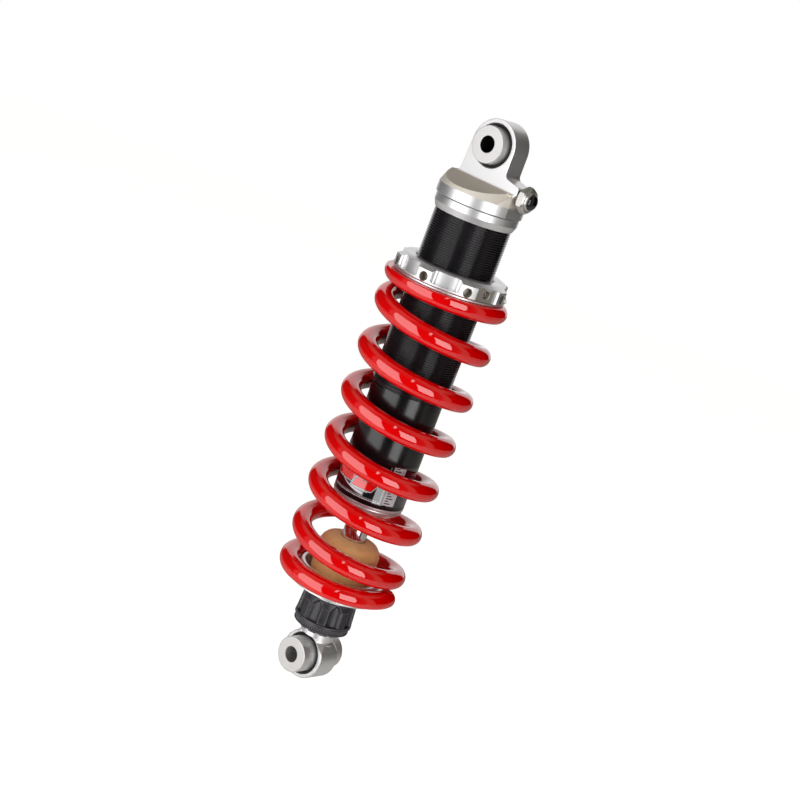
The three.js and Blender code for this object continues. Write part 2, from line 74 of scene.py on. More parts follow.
HEAD_HIGH = low_high("top_eye_head")[1]
EYE_R = HEAD_HIGH.z
TUBE_LOW, TUBE_HIGH = low_high("body_tube")
THREAD_R = radius_of("body_tube")
SEAL_LOW, SEAL_HIGH = low_high("seal_head")
TUBE_R = radius_of("seal_head")
THREAD_END = -161.0
SPRING_LOW, SPRING_HIGH = low_high("main_spring")
RING_LOW, RING_HIGH = low_high("preload_ring")
RING_R = radius_of("preload_ring")
SEAT_LOW, SEAT_HIGH = low_high("spring_seat")
PERCH_LOW, PERCH_HIGH = low_high("spring_perch")
BUMP_LOW, BUMP_HIGH = low_high("bump_stop")
KNOB_LOW, KNOB_HIGH = low_high("rebound_knob")
DETENT_LOW, DETENT_HIGH = low_high("detent_ring")
LOWER_LOW, LOWER_HIGH = low_high("lower_eye")
ROD_LOW, ROD_HIGH = low_high("damper_rod")
ROD_R = radius_of("damper_rod")
LOWER_Z = LOWER_LOW.z + EYE_R
BOLT_R = 5.1

SHELF_Z = -22.3  # where the lug meets the shelf
SHELF_FALL = 0.31  # how far the shelf drops for each millimetre away from the lug
SHELF_R = 24.4
SHOULDER_Z = -30.6
HEAD_R = radius_of("top_eye_head")
HEAD_BOTTOM = -37.1
FLAT_X = 27.0
FOOT_X = HEAD_HIGH.x
FOOT_LOW = -24.0
LUG_HALF = 7.5

LABEL_LOW = TUBE_LOW.z + 2.6
LABEL_HIGH = LABEL_LOW + 27.6
CAMERA_AZIMUTH = 36.0
FACING = CAMERA_AZIMUTH - 90  # the camera's direction as an angle about Z, from +X


# ---------------------------------------------------------------- outlines and solids
def smoothstep(t):
    t = np.clip(t, 0.0, 1.0)
    return t * t * (3 - 2 * t)


def rounded(corners, radius=0.3, closed=True, steps=4):
    """The corners of an outline with arcs put in. A third number on a corner is its own radius."""
    points = []
    for i, corner in enumerate(corners):
        here = np.array(corner[:2], float)
        size = corner[2] if len(corner) > 2 else radius
        before = np.array(corners[i - 1][:2], float) - here
        after = np.array(corners[(i + 1) % len(corners)][:2], float) - here
        if size <= 0 or (not closed and i in (0, len(corners) - 1)):
            points.append(here)
            continue
        room = 0.48 * min(np.linalg.norm(before), np.linalg.norm(after))
        before, after = before / np.linalg.norm(before), after / np.linalg.norm(after)
        half = math.acos(max(-1.0, min(1.0, float(before @ after)))) / 2
        if half > math.radians(88):
            points.append(here)
            continue
        reach = min(size / math.tan(half), room)
        arc_r = reach * math.tan(half)
        centre = here + (before + after) / np.linalg.norm(before + after) * arc_r / math.sin(half)
        start, end = here + before * reach - centre, here + after * reach - centre
        turn = math.atan2(start[0] * end[1] - start[1] * end[0], float(start @ end))
        for k in range(steps + 1):
            a = turn * k / steps
            points.append(centre + [start[0] * math.cos(a) - start[1] * math.sin(a),
                                    start[0] * math.sin(a) + start[1] * math.cos(a)])
    return [tuple(p) for p in points]


def arc(centre, r, start, end, steps):
    """Points on an arc in a plane, from one angle to another, in radians."""
    angles = np.linspace(start, end, steps + 1)
    return [(centre[0] + r * math.cos(a), centre[1] + r * math.sin(a)) for a in angles]


def raw_mesh(vertices, faces):
    """A clean mesh object, from millimetres. Doubled points are joined and the faces point outward."""
    mesh = bpy.data.meshes.new("raw")
    mesh.from_pydata([tuple(v) for v in np.asarray(vertices, float) * MM], [], faces)
    work = bmesh.new()
    work.from_mesh(mesh)
    bmesh.ops.remove_doubles(work, verts=work.verts, dist=2e-7)
    bmesh.ops.dissolve_degenerate(work, edges=work.edges, dist=1e-7)
    bmesh.ops.recalc_face_normals(work, faces=work.faces)
    if work.calc_volume(signed=True) < 0:
        bmesh.ops.reverse_faces(work, faces=work.faces)
    work.to_mesh(mesh)
    work.free()
    obj = bpy.data.objects.new("raw", mesh)
    bpy.context.scene.collection.objects.link(obj)
    return obj


def grid_faces(rows, columns, first=0, wrap=True):
    """Quads over a grid of points stored row by row. The columns close on themselves if wrap is true."""
    faces = []
    for i in range(rows - 1):
        for j in range(columns if wrap else columns - 1):
            k = (j + 1) % columns
            a, b = first + i * columns, first + (i + 1) * columns
            faces.append((a + j, a + k, b + k, b + j))
    return faces


def turned_grid(profile, segments):
    angles = np.linspace(0, 2 * math.pi, segments, endpoint=False)
    return np.concatenate([
        np.stack([r * np.cos(angles), r * np.sin(angles), np.full(segments, z)], axis=1) for r, z in profile
    ])


def turned(profile, segments=ROUND):
    """A solid turned about Z from (radius, z) points. A ring's outline closes on itself."""
    if profile[0][0] > 0:
        profile = [*profile, profile[0]]
    return raw_mesh(turned_grid(profile, segments), grid_faces(len(profile), segments))


def lathe(corners, radius=0.3, steps=4, segments=ROUND):
    """A turned solid with rounded corners. Its outline is open if it starts on the axis."""
    return turned(rounded(corners, radius, closed=corners[0][0] > 0, steps=steps), segments)


def hexagon(corner):
    return [(corner * math.cos(a), corner * math.sin(a)) for a in np.radians(range(0, 360, 60))]


def slab(outline, low, high, edge=0.0, steps=3):
    """An outline in X and Y, made solid from z = low to high, with its two rims rounded by edge."""
    points = np.array(outline, float)
    ahead, behind = np.roll(points, -1, axis=0) - points, points - np.roll(points, 1, axis=0)
    ahead /= np.linalg.norm(ahead, axis=1)[:, None]
    behind /= np.linalg.norm(behind, axis=1)[:, None]
    area = np.sum(points[:, 0] * np.roll(points[:, 1], -1) - np.roll(points[:, 0], -1) * points[:, 1])
    side = 1.0 if area > 0 else -1.0
    inward = np.stack([-(ahead + behind)[:, 1], (ahead + behind)[:, 0]], axis=1) * side
    inward /= np.linalg.norm(inward, axis=1)[:, None]
    square = np.stack([-ahead[:, 1], ahead[:, 0]], axis=1) * side
    inward /= np.clip(np.sum(inward * square, axis=1), 0.4, 1.0)[:, None]
    levels = [(0.0, low), (0.0, high)]
    if edge:
        sweep = [math.pi / 2 * k / steps for k in range(steps + 1)]
        rise = [(edge * (1 - math.sin(a)), edge * (1 - math.cos(a))) for a in sweep]
        levels = [(inset, low + up) for inset, up in rise]
        levels += [(inset, high - up) for inset, up in reversed(rise)]
    rings = [np.column_stack([points + inward * inset, np.full(len(points), z)]) for inset, z in levels]
    count = len(points)
    faces = grid_faces(len(levels), count)
    faces.append(tuple(range(count)))
    faces.append(tuple(range((len(levels) - 1) * count, len(levels) * count)))
    return raw_mesh(np.concatenate(rings), faces)


def block(low, high):
    outline = [(low[0], low[1]), (high[0], low[1]), (high[0], high[1]), (low[0], high[1])]
    return slab(outline, low[2], high[2])


def placed(obj, turn=(0, 0, 0), move=(0, 0, 0)):
    """Turns a fresh solid about X, Y and Z in degrees, then moves it in millimetres. Its mesh is changed."""
    matrix = Matrix.Translation(Vector(move) * MM)
    for axis, degrees in zip("ZYX", reversed(turn)):
        matrix = matrix @ Matrix.Rotation(math.radians(degrees), 4, axis)
    obj.data.transform(matrix)
    obj.data.update()
    return obj


def along_x(obj, x=0.0, z=0.0):
    """Lays a solid turned about Z along X instead. Its top end then faces +X."""
    return placed(obj, turn=(0, 90, 0), move=(x, 0, z))


def along_y(obj, z=0.0):
    """Lays a solid turned about Z along Y instead, at height z. Its top end then faces the rear."""
    return placed(obj, turn=(-90, 0, 0), move=(0, 0, z))


def across_x(obj):
    """Stands an outline drawn in Y and Z upright. What was its height then runs along X."""
    return placed(obj, turn=(90, 0, 90))


def spun(obj, degrees):
    """Turns a fresh solid about Z."""
    return placed(obj, turn=(0, 0, degrees))


def mirrored(obj):
    """The same fresh solid on the other side of the plane y = 0."""
    obj.data.transform(Matrix.Scale(-1, 4, (0, 1, 0)))
    obj.data.flip_normals()
    return obj


def combined(base, others, operation):
    """base with the other solids joined to it, cut from it or shared with it. The others are used up."""
    for other in others:
        modifier = base.modifiers.new("cut", "BOOLEAN")
        modifier.operation = operation
        modifier.solver = "MANIFOLD"
        modifier.object = other
        apply_modifiers(base)
        bpy.data.objects.remove(other)
    return base


def apply_modifiers(obj):
    bpy.context.view_layer.update()
    made = bpy.data.meshes.new_from_object(obj.evaluated_get(bpy.context.evaluated_depsgraph_get()))
    obj.modifiers.clear()
    obj.data = made


def edges_broken(obj, width, degrees=30, segments=2):
    """Rounds every edge that is sharper than degrees, by width in millimetres."""
    bevel = obj.modifiers.new("edges", "BEVEL")
    bevel.width = width * MM
    bevel.segments = segments
    bevel.limit_method = "ANGLE"
    bevel.angle_limit = math.radians(degrees)
    bevel.use_clamp_overlap = True
    apply_modifiers(obj)
    return obj


def piece(obj, name, body, look, *nodes, sharp=38, weighted=True):
    """Names and shades a finished solid, and says which look, body and CAD nodes it stands for."""
    material, slot = LOOKS[look]
    obj.name = obj.data.name = name
    obj.data.materials.clear()
    obj.data.materials.append(material)
    obj.data.polygons.foreach_set("use_smooth", [True] * len(obj.data.polygons))
    obj.data.set_sharp_from_angle(angle=math.radians(sharp))
    if weighted:
        normals = obj.modifiers.new("flat_faces", "WEIGHTED_NORMAL")
        normals.keep_sharp = True
        normals.weight = 80
    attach(obj, body)
    if nodes:
        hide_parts(*nodes)
    return obj


def turned_piece(name, body, look, node, corners, radius=0.3, segments=ROUND):
    """A finished piece that is turned and nothing more."""
    return piece(lathe(corners, radius, segments=segments), name, body, look, node)


# ---------------------------------------------------------------- materials
def linear(*srgb):
    """A colour picked in 0 to 255 sRGB, as the linear colour that shaders take."""
    return [((c / 255 + 0.055) / 1.055) ** 2.4 if c > 10 else c / 255 / 12.92 for c in srgb] + [1.0]


def tinted(colour, red, green, blue):
    return [colour[0] * red, colour[1] * green, colour[2] * blue, 1.0]


class Look:
    """A material: a Principled shader with its even values on its own sockets, and procedural detail."""

    def __init__(self, name, **values):
        self.material = bpy.data.materials.new(name)
        self.material.use_nodes = True
        self.tree = self.material.node_tree
        self.shader = self.tree.nodes["Principled BSDF"]
        for socket, value in values.items():
            self.feed(self.shader.inputs[socket.replace("_", " ")], value)
        self.place = self.node("TexCoord").outputs["Object"]

    def feed(self, socket, value):
        """Links a socket to value where that is a socket too, and sets it otherwise."""
        if isinstance(value, bpy.types.NodeSocket):
            self.tree.links.new(value, socket)
        else:
            socket.default_value = value

    def node(self, kind, inputs=None, **settings):
        """A new shader node, with its settings and with its inputs by name or by number."""
        made = self.tree.nodes.new("ShaderNode" + kind)
        for name, value in settings.items():
            setattr(made, name, value)
        for name, value in (inputs or {}).items():
            self.feed(made.inputs[name], value)
        return made

    def math(self, operation, *values):
        return self.node("Math", dict(enumerate(values)), operation=operation).outputs[0]

    def both(self, a, b):
        return self.math("MULTIPLY", a, b)

    def within(self, value, low, high):
        """1 where value lies between low and high, and 0 elsewhere."""
        return self.both(self.math("GREATER_THAN", value, low), self.math("LESS_THAN", value, high))

    def noise(self, scale, detail=2.0, roughness=0.5, stretch=(1, 1, 1)):
        """Noise with a feature size of about 1/scale metres, stretched along the axes."""
        vector = self.node("Mapping", {"Scale": stretch, "Vector": self.place}).outputs[0]
        values = {"Scale": scale, "Detail": detail, "Roughness": roughness, "Vector": vector}
        return self.node("TexNoise", values).outputs["Fac"]

    def noise_of(self, x, y, detail=2.0):
        """Noise over two values of its own."""
        vector = self.node("CombineXYZ", {0: x, 1: y, 2: 0.0}).outputs[0]
        return self.node("TexNoise", {"Scale": 1.0, "Detail": detail, "Vector": vector}).outputs["Fac"]

    def cylinder(self):
        """Radius from the Z axis, angle round it and height, as sockets, in metres and radians."""
        x, y, z = self.node("SeparateXYZ", {0: self.place}).outputs
        radius = self.math("SQRT", self.math("ADD", self.both(x, x), self.both(y, y)))
        return radius, self.math("ARCTAN2", y, x), z

    def spread(self, value, low, high, from_low=0.3, from_high=0.7):
        """value rescaled to run from low to high."""
        values = {"Value": value, "From Min": from_low, "From Max": from_high, "To Min": low, "To Max": high}
        return self.node("MapRange", values).outputs["Result"]

    def mix(self, share, a, b):
        return self.node("Mix", {"Factor": share, 6: a, 7: b}, data_type="RGBA").outputs[2]

    def blend(self, value, first, second):
        """A colour that goes from first to second with a noise. Both are picked in sRGB."""
        return self.mix(self.spread(value, 0, 1), linear(*first), linear(*second))

    def colour(self, value):
        self.feed(self.shader.inputs["Base Color"], value)

    def roughness(self, value):
        self.feed(self.shader.inputs["Roughness"], value)

    def bump(self, height, strength, depth_mm):
        """Adds relief to the relief that the material has already."""
        made = self.node("Bump", {"Strength": strength, "Distance": depth_mm * MM, "Height": height})
        normal = self.shader.inputs["Normal"]
        if normal.is_linked:
            self.feed(made.inputs["Normal"], normal.links[0].from_socket)
        self.feed(normal, made.outputs[0])


METAL_SHARE = 0.84  # the rest is the dull white of a blasted, clear-anodised skin


def turned_metal(name, colour, roughness, lines_mm=0.25, strength=0.12, axis="Z", centre_z=0.0, bore=None):
    """Metal with fine lathe lines round an axis. bore is how bright the painted shade leaves the bolt hole,
    from 0 to 1.
    """
    look = Look(name, Metallic=METAL_SHARE, Roughness=roughness, Anisotropic=0.35)
    if axis == "Y":
        centred = look.node("Mapping", {"Location": (0, 0, -centre_z * MM), "Vector": look.place}).outputs[0]
        values = {"Angle": math.pi / 2, "Vector": centred}
        look.place = look.node("VectorRotate", values, rotation_type="X_AXIS").outputs[0]
    radius, _, height = look.cylinder()
    scale = 1 / (lines_mm * MM)
    lines = look.noise_of(look.both(radius, scale), look.both(height, scale), detail=3.0)
    look.bump(lines, strength, 0.012)
    cloud = look.noise(60, detail=4)
    look.roughness(look.spread(cloud, roughness * 0.88, roughness * 1.14))
    tone = look.mix(look.spread(lines, 0.0, 0.35), colour, tinted(colour, 0.82, 0.82, 0.82))
    # Painted shade: the bolt hole's walls are darkened, to bore times the colour.
    if bore is not None:
        painted_shade_area = look.math("LESS_THAN", radius, (BOLT_R + 0.2) * MM)
        tone = look.mix(painted_shade_area, tone, tinted(colour, bore, bore, bore))
    look.colour(tone)
    return look.material


def milled_metal(name, colour, roughness, shelf=False):
    """Milled metal: shallow strokes under a fine satin grain. The head has a duller cone and shelf, with a
    painted beige reflection over both and painted shade on the shelf.
    """
    look = Look(name, Metallic=METAL_SHARE, Roughness=roughness)
    grain = look.noise(2600, detail=3, roughness=0.6)
    strokes = look.noise(700, detail=2, stretch=(1, 1, 0.18))
    look.bump(grain, 0.05, 0.01)
    look.bump(strokes, 0.04, 0.012)
    cloud = look.noise(45, detail=4)
    satin = look.spread(cloud, roughness * 0.9, roughness * 1.12)
    tone = look.mix(look.spread(grain, 0.0, 0.3), colour, tinted(colour, 0.86, 0.86, 0.86))
    if shelf:
        radius, _, height = look.cylinder()
        band = look.within(height, SHOULDER_Z * MM, (SHELF_Z + 0.4) * MM)
        slope = (HEAD_R - SHELF_R) / (SHOULDER_Z - SHELF_Z)
        cone_r = look.math("MULTIPLY_ADD", height, slope, (SHELF_R - SHELF_Z * slope - 0.15) * MM)
        painted_shade_area = look.both(band, look.math("LESS_THAN", radius, cone_r))
        satin = look.math("MULTIPLY_ADD", band, 0.3, satin)
        # Painted reflection: a warm beige tint over the cone and shelf. Painted shade: the shelf inside the
        # cone is darker.
        tone = look.mix(band, tone, tinted(colour, 1.0, 0.95, 0.86))
        tone = look.mix(painted_shade_area, tone, tinted(colour, 0.72, 0.66, 0.57))
    look.roughness(satin)
    look.colour(tone)
    return look.material


def red_coat():
    look = Look("red_coat", Roughness=0.5, Coat_Weight=1.0, Coat_Roughness=0.025, Coat_IOR=1.85,
                Specular_IOR_Level=0.0)
    peel = look.noise(420, detail=2)
    look.bump(peel, 0.05, 0.06)
    cloud = look.noise(30, detail=3)
    look.colour(look.blend(cloud, (228, 0, 2), (238, 0, 4)))
    return look.material


def black_anodised():
    look = Look("black_anodised", Metallic=0.0, Roughness=0.2, IOR=1.55, Specular_IOR_Level=0.55)
    radius, _, height = look.cylinder()
    lines = look.noise_of(look.both(height, 5000), look.both(radius, 3000))
    look.bump(lines, 0.05, 0.006)
    cloud = look.noise(80, detail=4)
    look.roughness(look.spread(cloud, 0.16, 0.24))
    smooth = look.blend(cloud, (11, 10, 12), (17, 15, 18))
    # The threaded part is lighter than the smooth barrel: a painted sheen that stands in for the highlights
    # on the thread crests.
    thread = look.blend(cloud, (24, 22, 25), (35, 32, 36))
    look.colour(look.mix(look.math("GREATER_THAN", height, THREAD_END * MM), smooth, thread))
    return look.material


def moulded_black():
    look = Look("moulded_black", Roughness=0.36, IOR=1.55)
    grain = look.noise(2400, detail=3, roughness=0.65)
    look.bump(grain, 0.18, 0.03)
    cloud = look.noise(150, detail=3)
    look.roughness(look.spread(cloud, 0.3, 0.42))
    tone = look.blend(cloud, (36, 34, 40), (46, 44, 50))
    # Painted highlight: convex edges are lightened towards a pale grey.
    painted_edge_highlight = look.spread(look.node("NewGeometry").outputs["Pointiness"], 0, 1, 0.506, 0.53)
    look.colour(look.mix(painted_edge_highlight, tone, linear(112, 109, 116)))
    return look.material


def one_noise(name, first, second, scale, bump, detail=4, noise_roughness=0.5, dull=None, **values):
    """A material whose tone and bump, and its roughness where a range is given, all follow one noise."""
    look = Look(name, **values)
    grain = look.noise(scale, detail=detail, roughness=noise_roughness)
    look.bump(grain, *bump)
    if dull:
        look.roughness(look.spread(grain, *dull))
    look.colour(look.blend(grain, first, second))
    return look.material


def hard_chrome():
    look = Look("hard_chrome", Metallic=1.0, Roughness=0.1)
    _, angle, height = look.cylinder()
    lines = look.noise_of(look.both(height, 4000), look.both(angle, 3))
    look.bump(lines, 0.03, 0.003)
    look.roughness(look.spread(lines, 0.08, 0.13))
    look.colour(look.mix(look.spread(lines, 0, 0.3), linear(232, 230, 234), linear(205, 203, 208)))
    return look.material


def ochre_foam():
    look = Look("ochre_foam", Roughness=0.7, Subsurface_Weight=0.08, Subsurface_Scale=0.001,
                Sheen_Weight=0.25, Sheen_Roughness=0.4)
    pores = look.node("TexVoronoi", {"Scale": 1500, "Vector": look.place}).outputs["Distance"]
    pits = look.spread(pores, 0, 1, 0.0, 0.28)
    skin = look.noise(260, detail=5, roughness=0.6)
    patch = look.noise(70, detail=3)
    look.bump(pits, 0.16, 0.05)
    look.bump(skin, 0.3, 0.12)
    tone = look.blend(patch, (246, 202, 138), (234, 184, 116))
    tone = look.mix(look.spread(skin, 0, 0.5), tone, linear(218, 164, 102))
    # Painted shade: the pores are darkened towards a deep brown.
    look.colour(look.mix(look.spread(pits, 0.35, 0.0, 0.0, 0.6), tone, linear(120, 76, 36)))
    look.roughness(look.spread(skin, 0.6, 0.8))
    return look.material


def printed_film():
    """A glossy printed film: slanted red blocks with pale edges, a silver sweep, dashes and a silver panel.

    Its marks are plain bars and dashes. Distances are in millimetres, along the film from the camera's side
    of the body and up from its lower edge.
    """
    look = Look("printed_film", Roughness=0.12, IOR=1.5, Coat_Weight=1.0, Coat_Roughness=0.03, Coat_IOR=1.7)
    _, angle, height = look.cylinder()
    turn = look.math("WRAP", look.math("SUBTRACT", angle, math.radians(FACING)), math.pi, -math.pi)
    along = look.both(turn, TUBE_R)
    up = look.both(look.math("SUBTRACT", height, LABEL_LOW * MM), 1 / MM)
    slanted = look.math("SUBTRACT", along, look.both(up, 0.55))

    def area(across, across_range, up_range):
        return look.both(look.within(across, *across_range), look.within(up, *up_range))

    def dashes(value, pitch, share):
        return look.math("LESS_THAN", look.math("FRACT", look.math("DIVIDE", value, pitch)), share)

    def blocks(margin):
        shapes = [area(slanted, (low - margin, high + margin), (foot - margin, head + margin))
                  for low, high, foot, head in ((-36, -19.5, 8.2, 23), (-17.5, -3.6, 6.6, 20))]
        return look.math("MAXIMUM", *shapes)

    slot = area(slanted, (-13.5, -6.5), (11.6, 12.9))
    from_end = look.math("ADD", along, 5.0)
    sweep = look.math("MULTIPLY_ADD", look.both(from_end, from_end), 0.0125, 3.8)
    from_sweep = look.math("ABSOLUTE", look.math("SUBTRACT", up, sweep))
    width = look.spread(along, 0.12, 0.6, -26, -8)
    sweep_area = look.both(look.math("LESS_THAN", from_sweep, width), look.within(along, -26, -4.5))
    ticks = look.both(area(slanted, (-17.5, -4.5), (4.9, 6.0)), dashes(slanted, 1.15, 0.62))
    rule = area(along, (-40, 8.6), (0.6, 1.1))
    dashed = look.both(area(along, (-40, 8.0), (1.6, 2.0)), dashes(along, 1.2, 0.55))
    upright = look.both(area(along, (7.4, 7.9), (1.6, 26)), dashes(up, 1.2, 0.55))
    panel = area(along, (9.4, 18.2), (0.5, 26.6))
    row = look.math("FLOOR", look.math("DIVIDE", up, 1.7))
    row_end = look.math("MULTIPLY_ADD", look.math("FRACT", look.both(row, 0.618)), 4.2, 12.2)
    row_marks = look.both(dashes(up, 1.7, 0.42), look.math("GREATER_THAN", along, 10.6))
    bars = look.both(row_marks, look.math("LESS_THAN", along, row_end))
    small_marks = look.both(dashes(up, 1.5, 0.4), dashes(along, 2.3, 0.8))
    small = look.both(area(along, (20.5, 30), (3, 24)), small_marks)

    cloud = look.noise(300, detail=2)
    tone = look.blend(cloud, (15, 12, 16), (25, 20, 26))
    tone = look.mix(blocks(0.75), tone, linear(196, 206, 212))
    tone = look.mix(blocks(0.3), tone, linear(16, 14, 17))
    tone = look.mix(blocks(0.0), tone, linear(232, 6, 10))
    tone = look.mix(slot, tone, linear(14, 14, 16))
    silver = look.blend(cloud, (188, 188, 192), (214, 214, 216))
    for mark in (sweep_area, ticks, rule, dashed, upright, panel):
        tone = look.mix(mark, tone, silver)
    tone = look.mix(look.both(panel, bars), tone, linear(38, 38, 42))
    tone = look.mix(small, tone, linear(74, 74, 82))
    look.colour(tone)
    look.bump(cloud, 0.02, 0.01)
    return look.material


ALUMINIUM = linear(240, 239, 240)
SPACER_TONE = linear(226, 224, 223)
STEEL_TONE = linear(214, 211, 207)

LOOKS = {  # each material, and the name of its slot
    "turned": (turned_metal("turned_aluminium", ALUMINIUM, 0.34), "machined_aluminium"),
    "milled": (milled_metal("milled_aluminium", ALUMINIUM, 0.36), "machined_aluminium"),
    # shelf=True makes the head's cone and shelf rougher, and paints a beige reflection and shade on them.
    "head": (milled_metal("milled_head", ALUMINIUM, 0.36, shelf=True), "machined_aluminium"),
    # The drilled look is rougher than the milled one, and its darker colour is painted shade in the holes.
    "drilled": (milled_metal("drilled_shaded_aluminium", linear(184, 178, 168), 0.5), "machined_aluminium"),
    # bore paints shade into the spacers' bolt holes: almost black in the top eye, lighter in the lower eye.
    "spacer_top": (turned_metal("turned_spacer_top", SPACER_TONE, 0.4, axis="Y", bore=0.03),
                   "spacer_aluminium"),
    "spacer_low": (turned_metal("turned_spacer_low", SPACER_TONE, 0.42,
                                axis="Y", bore=0.7, centre_z=LOWER_Z), "spacer_aluminium"),
    "steel": (turned_metal("bright_steel", STEEL_TONE, 0.24, strength=0.08), "steel"),
    "red": (red_coat(), "red_spring"),
    "anodised": (black_anodised(), "black_anodised"),
    "plastic": (moulded_black(), "black_plastic"),
    "rubber": (one_noise("black_rubber", (10, 10, 10), (18, 17, 17), 1800, (0.1, 0.02), noise_roughness=0.6,
                         dull=(0.42, 0.6), Roughness=0.5, IOR=1.5), "rubber"),
    "cap": (one_noise("gloss_cap", (12, 12, 13), (20, 20, 22), 300, (0.03, 0.02), detail=2,
                      Roughness=0.07, IOR=1.5, Coat_Weight=0.6, Coat_Roughness=0.03), "black_plastic"),
    "chrome": (hard_chrome(), "chrome"),
    "foam": (ochre_foam(), "foam"),
    "bronze": (one_noise("bearing_bronze", (170, 130, 70), (140, 102, 52), 400, (0.08, 0.02),
                         Metallic=1.0, Roughness=0.35), "bronze"),
    "film": (printed_film(), "black_anodised"),
}


# ---------------------------------------------------------------- head and top eye
def lug_outline():
    flank_x, hidden_x, foot_top, flank_z = -17.7, -24, -16.9, -14.4
    sweep = np.radians(np.linspace(0, 180, 61))
    outline = [(EYE_R * math.cos(a), EYE_R * math.sin(a)) for a in sweep]
    flank = rounded([
        (-EYE_R, 0, 0), (flank_x, SHELF_Z, 3.2), (hidden_x, SHELF_Z, 0), (hidden_x, SHOULDER_Z + 1, 0),
        (FLAT_X - 0.4, SHOULDER_Z + 1, 0), (FLAT_X - 0.4, FOOT_LOW - 0.4, 0.4),
        (FOOT_X, FOOT_LOW + 2.4, 0.8), (FOOT_X, foot_top, 1.2), (EYE_R, flank_z, 3.4), (EYE_R, 0, 0),
    ], closed=False, steps=8)
    return outline + flank[1:-1]


def foot_fillet():
    """The concave fillet where the lug's rear face meets the shelf, which falls away from it."""
    r, sunk = 2.2, 0.03  # a little sunk, so that it never just touches the faces it joins
    tilt = math.atan(SHELF_FALL)
    rise = r * math.tan((math.pi / 2 - tilt) / 2)  # the face and the shelf meet at more than a right angle
    arc_end = (rise * math.cos(tilt), -rise * math.sin(tilt))
    centre = (r, rise)
    start, end = math.pi, math.atan2(arc_end[1] - centre[1], arc_end[0] - centre[0]) % (2 * math.pi)
    curve = arc(centre, r, start, end, 8)
    below = [(curve[-1][0], curve[-1][1] - 0.5), (-0.5, -0.5), (-0.5, curve[0][1])]
    outline = [(LUG_HALF + y - sunk, SHELF_Z + z - sunk) for y, z in [*curve, *below]]
    return across_x(slab(outline, -17.6, FLAT_X - 0.2))


def above_shelf():
    """What is milled off above the shelf, behind the lug."""
    out_y = HEAD_R + 1
    outline = [(LUG_HALF, SHELF_Z), (LUG_HALF, SHELF_Z + 1), (out_y, SHELF_Z + 1),
               (out_y, SHELF_Z - SHELF_FALL * (out_y - LUG_HALF))]
    return across_x(slab(outline, -out_y, out_y))


def valve_boss():
    """The uncut rim under the valve, which falls away on both sides of the lug."""
    fall_y = 15.1
    outline = [(-fall_y, SHOULDER_Z), (-LUG_HALF, SHELF_Z), (LUG_HALF, SHELF_Z), (fall_y, SHOULDER_Z)]
    prism = across_x(slab(outline, 2, FLAT_X))
    rim = turned([(0, SHOULDER_Z - 1), (HEAD_R, SHOULDER_Z - 1), (HEAD_R, SHELF_Z + 0.5), (0, SHELF_Z + 0.5)])
    return combined(prism, [rim], "INTERSECT")


def eye_bore(half, z):
    """What is cut out of an eye: the bearing bore with a stepped, chamfered seal recess at each end."""
    race, recess, step = 12.2, 13.6, 4.8
    above = [(race, step), (recess, step), (recess, half - 0.45), (recess + 1.4, half + 1), (0, half + 1)]
    below = [(r, -height) for r, height in reversed(above)]
    return along_y(turned(below + above, SMALL_ROUND), z)


def make_head():
    groove_r, groove_z, spigot_r, spigot_low = 24.6, HEAD_BOTTOM + 1.6, 20.4, -57.8
    blank = lathe([
        (0, SHELF_Z), (SHELF_R, SHELF_Z, 0.35), (HEAD_R, SHOULDER_Z, 0.2), (HEAD_R, HEAD_BOTTOM, 0.35),
        (groove_r, HEAD_BOTTOM, 0), (groove_r, groove_z, 0), (spigot_r, groove_z, 0),
        (spigot_r, spigot_low, 0.5), (0, spigot_low),
    ])
    flat = block((FLAT_X, -HEAD_R - 2, HEAD_BOTTOM - 2), (HEAD_R + 3, HEAD_R + 2, SHELF_Z + 3))
    combined(blank, [flat, above_shelf(), mirrored(above_shelf())], "DIFFERENCE")
    lug = placed(slab(lug_outline(), -LUG_HALF, LUG_HALF, edge=0.45), turn=(90, 0, 0))
    combined(blank, [valve_boss(), lug, foot_fillet(), mirrored(foot_fillet())], "UNION")
    port = along_x(turned([(0, -10), (3.1, -10), (3.1, 3), (0, 3)], 48), FOOT_X, VALVE_Z)
    combined(blank, [eye_bore(LUG_HALF, 0), port], "DIFFERENCE")
    piece(blank, "head", "damper_body", "head", "top_eye_head", sharp=24)


VALVE_LOW, VALVE_HIGH = low_high("gas_valve")
VALVE_Z = (VALVE_LOW.z + VALVE_HIGH.z) / 2
VALVE_TIP = low_high("gas_valve_cap")[1].x


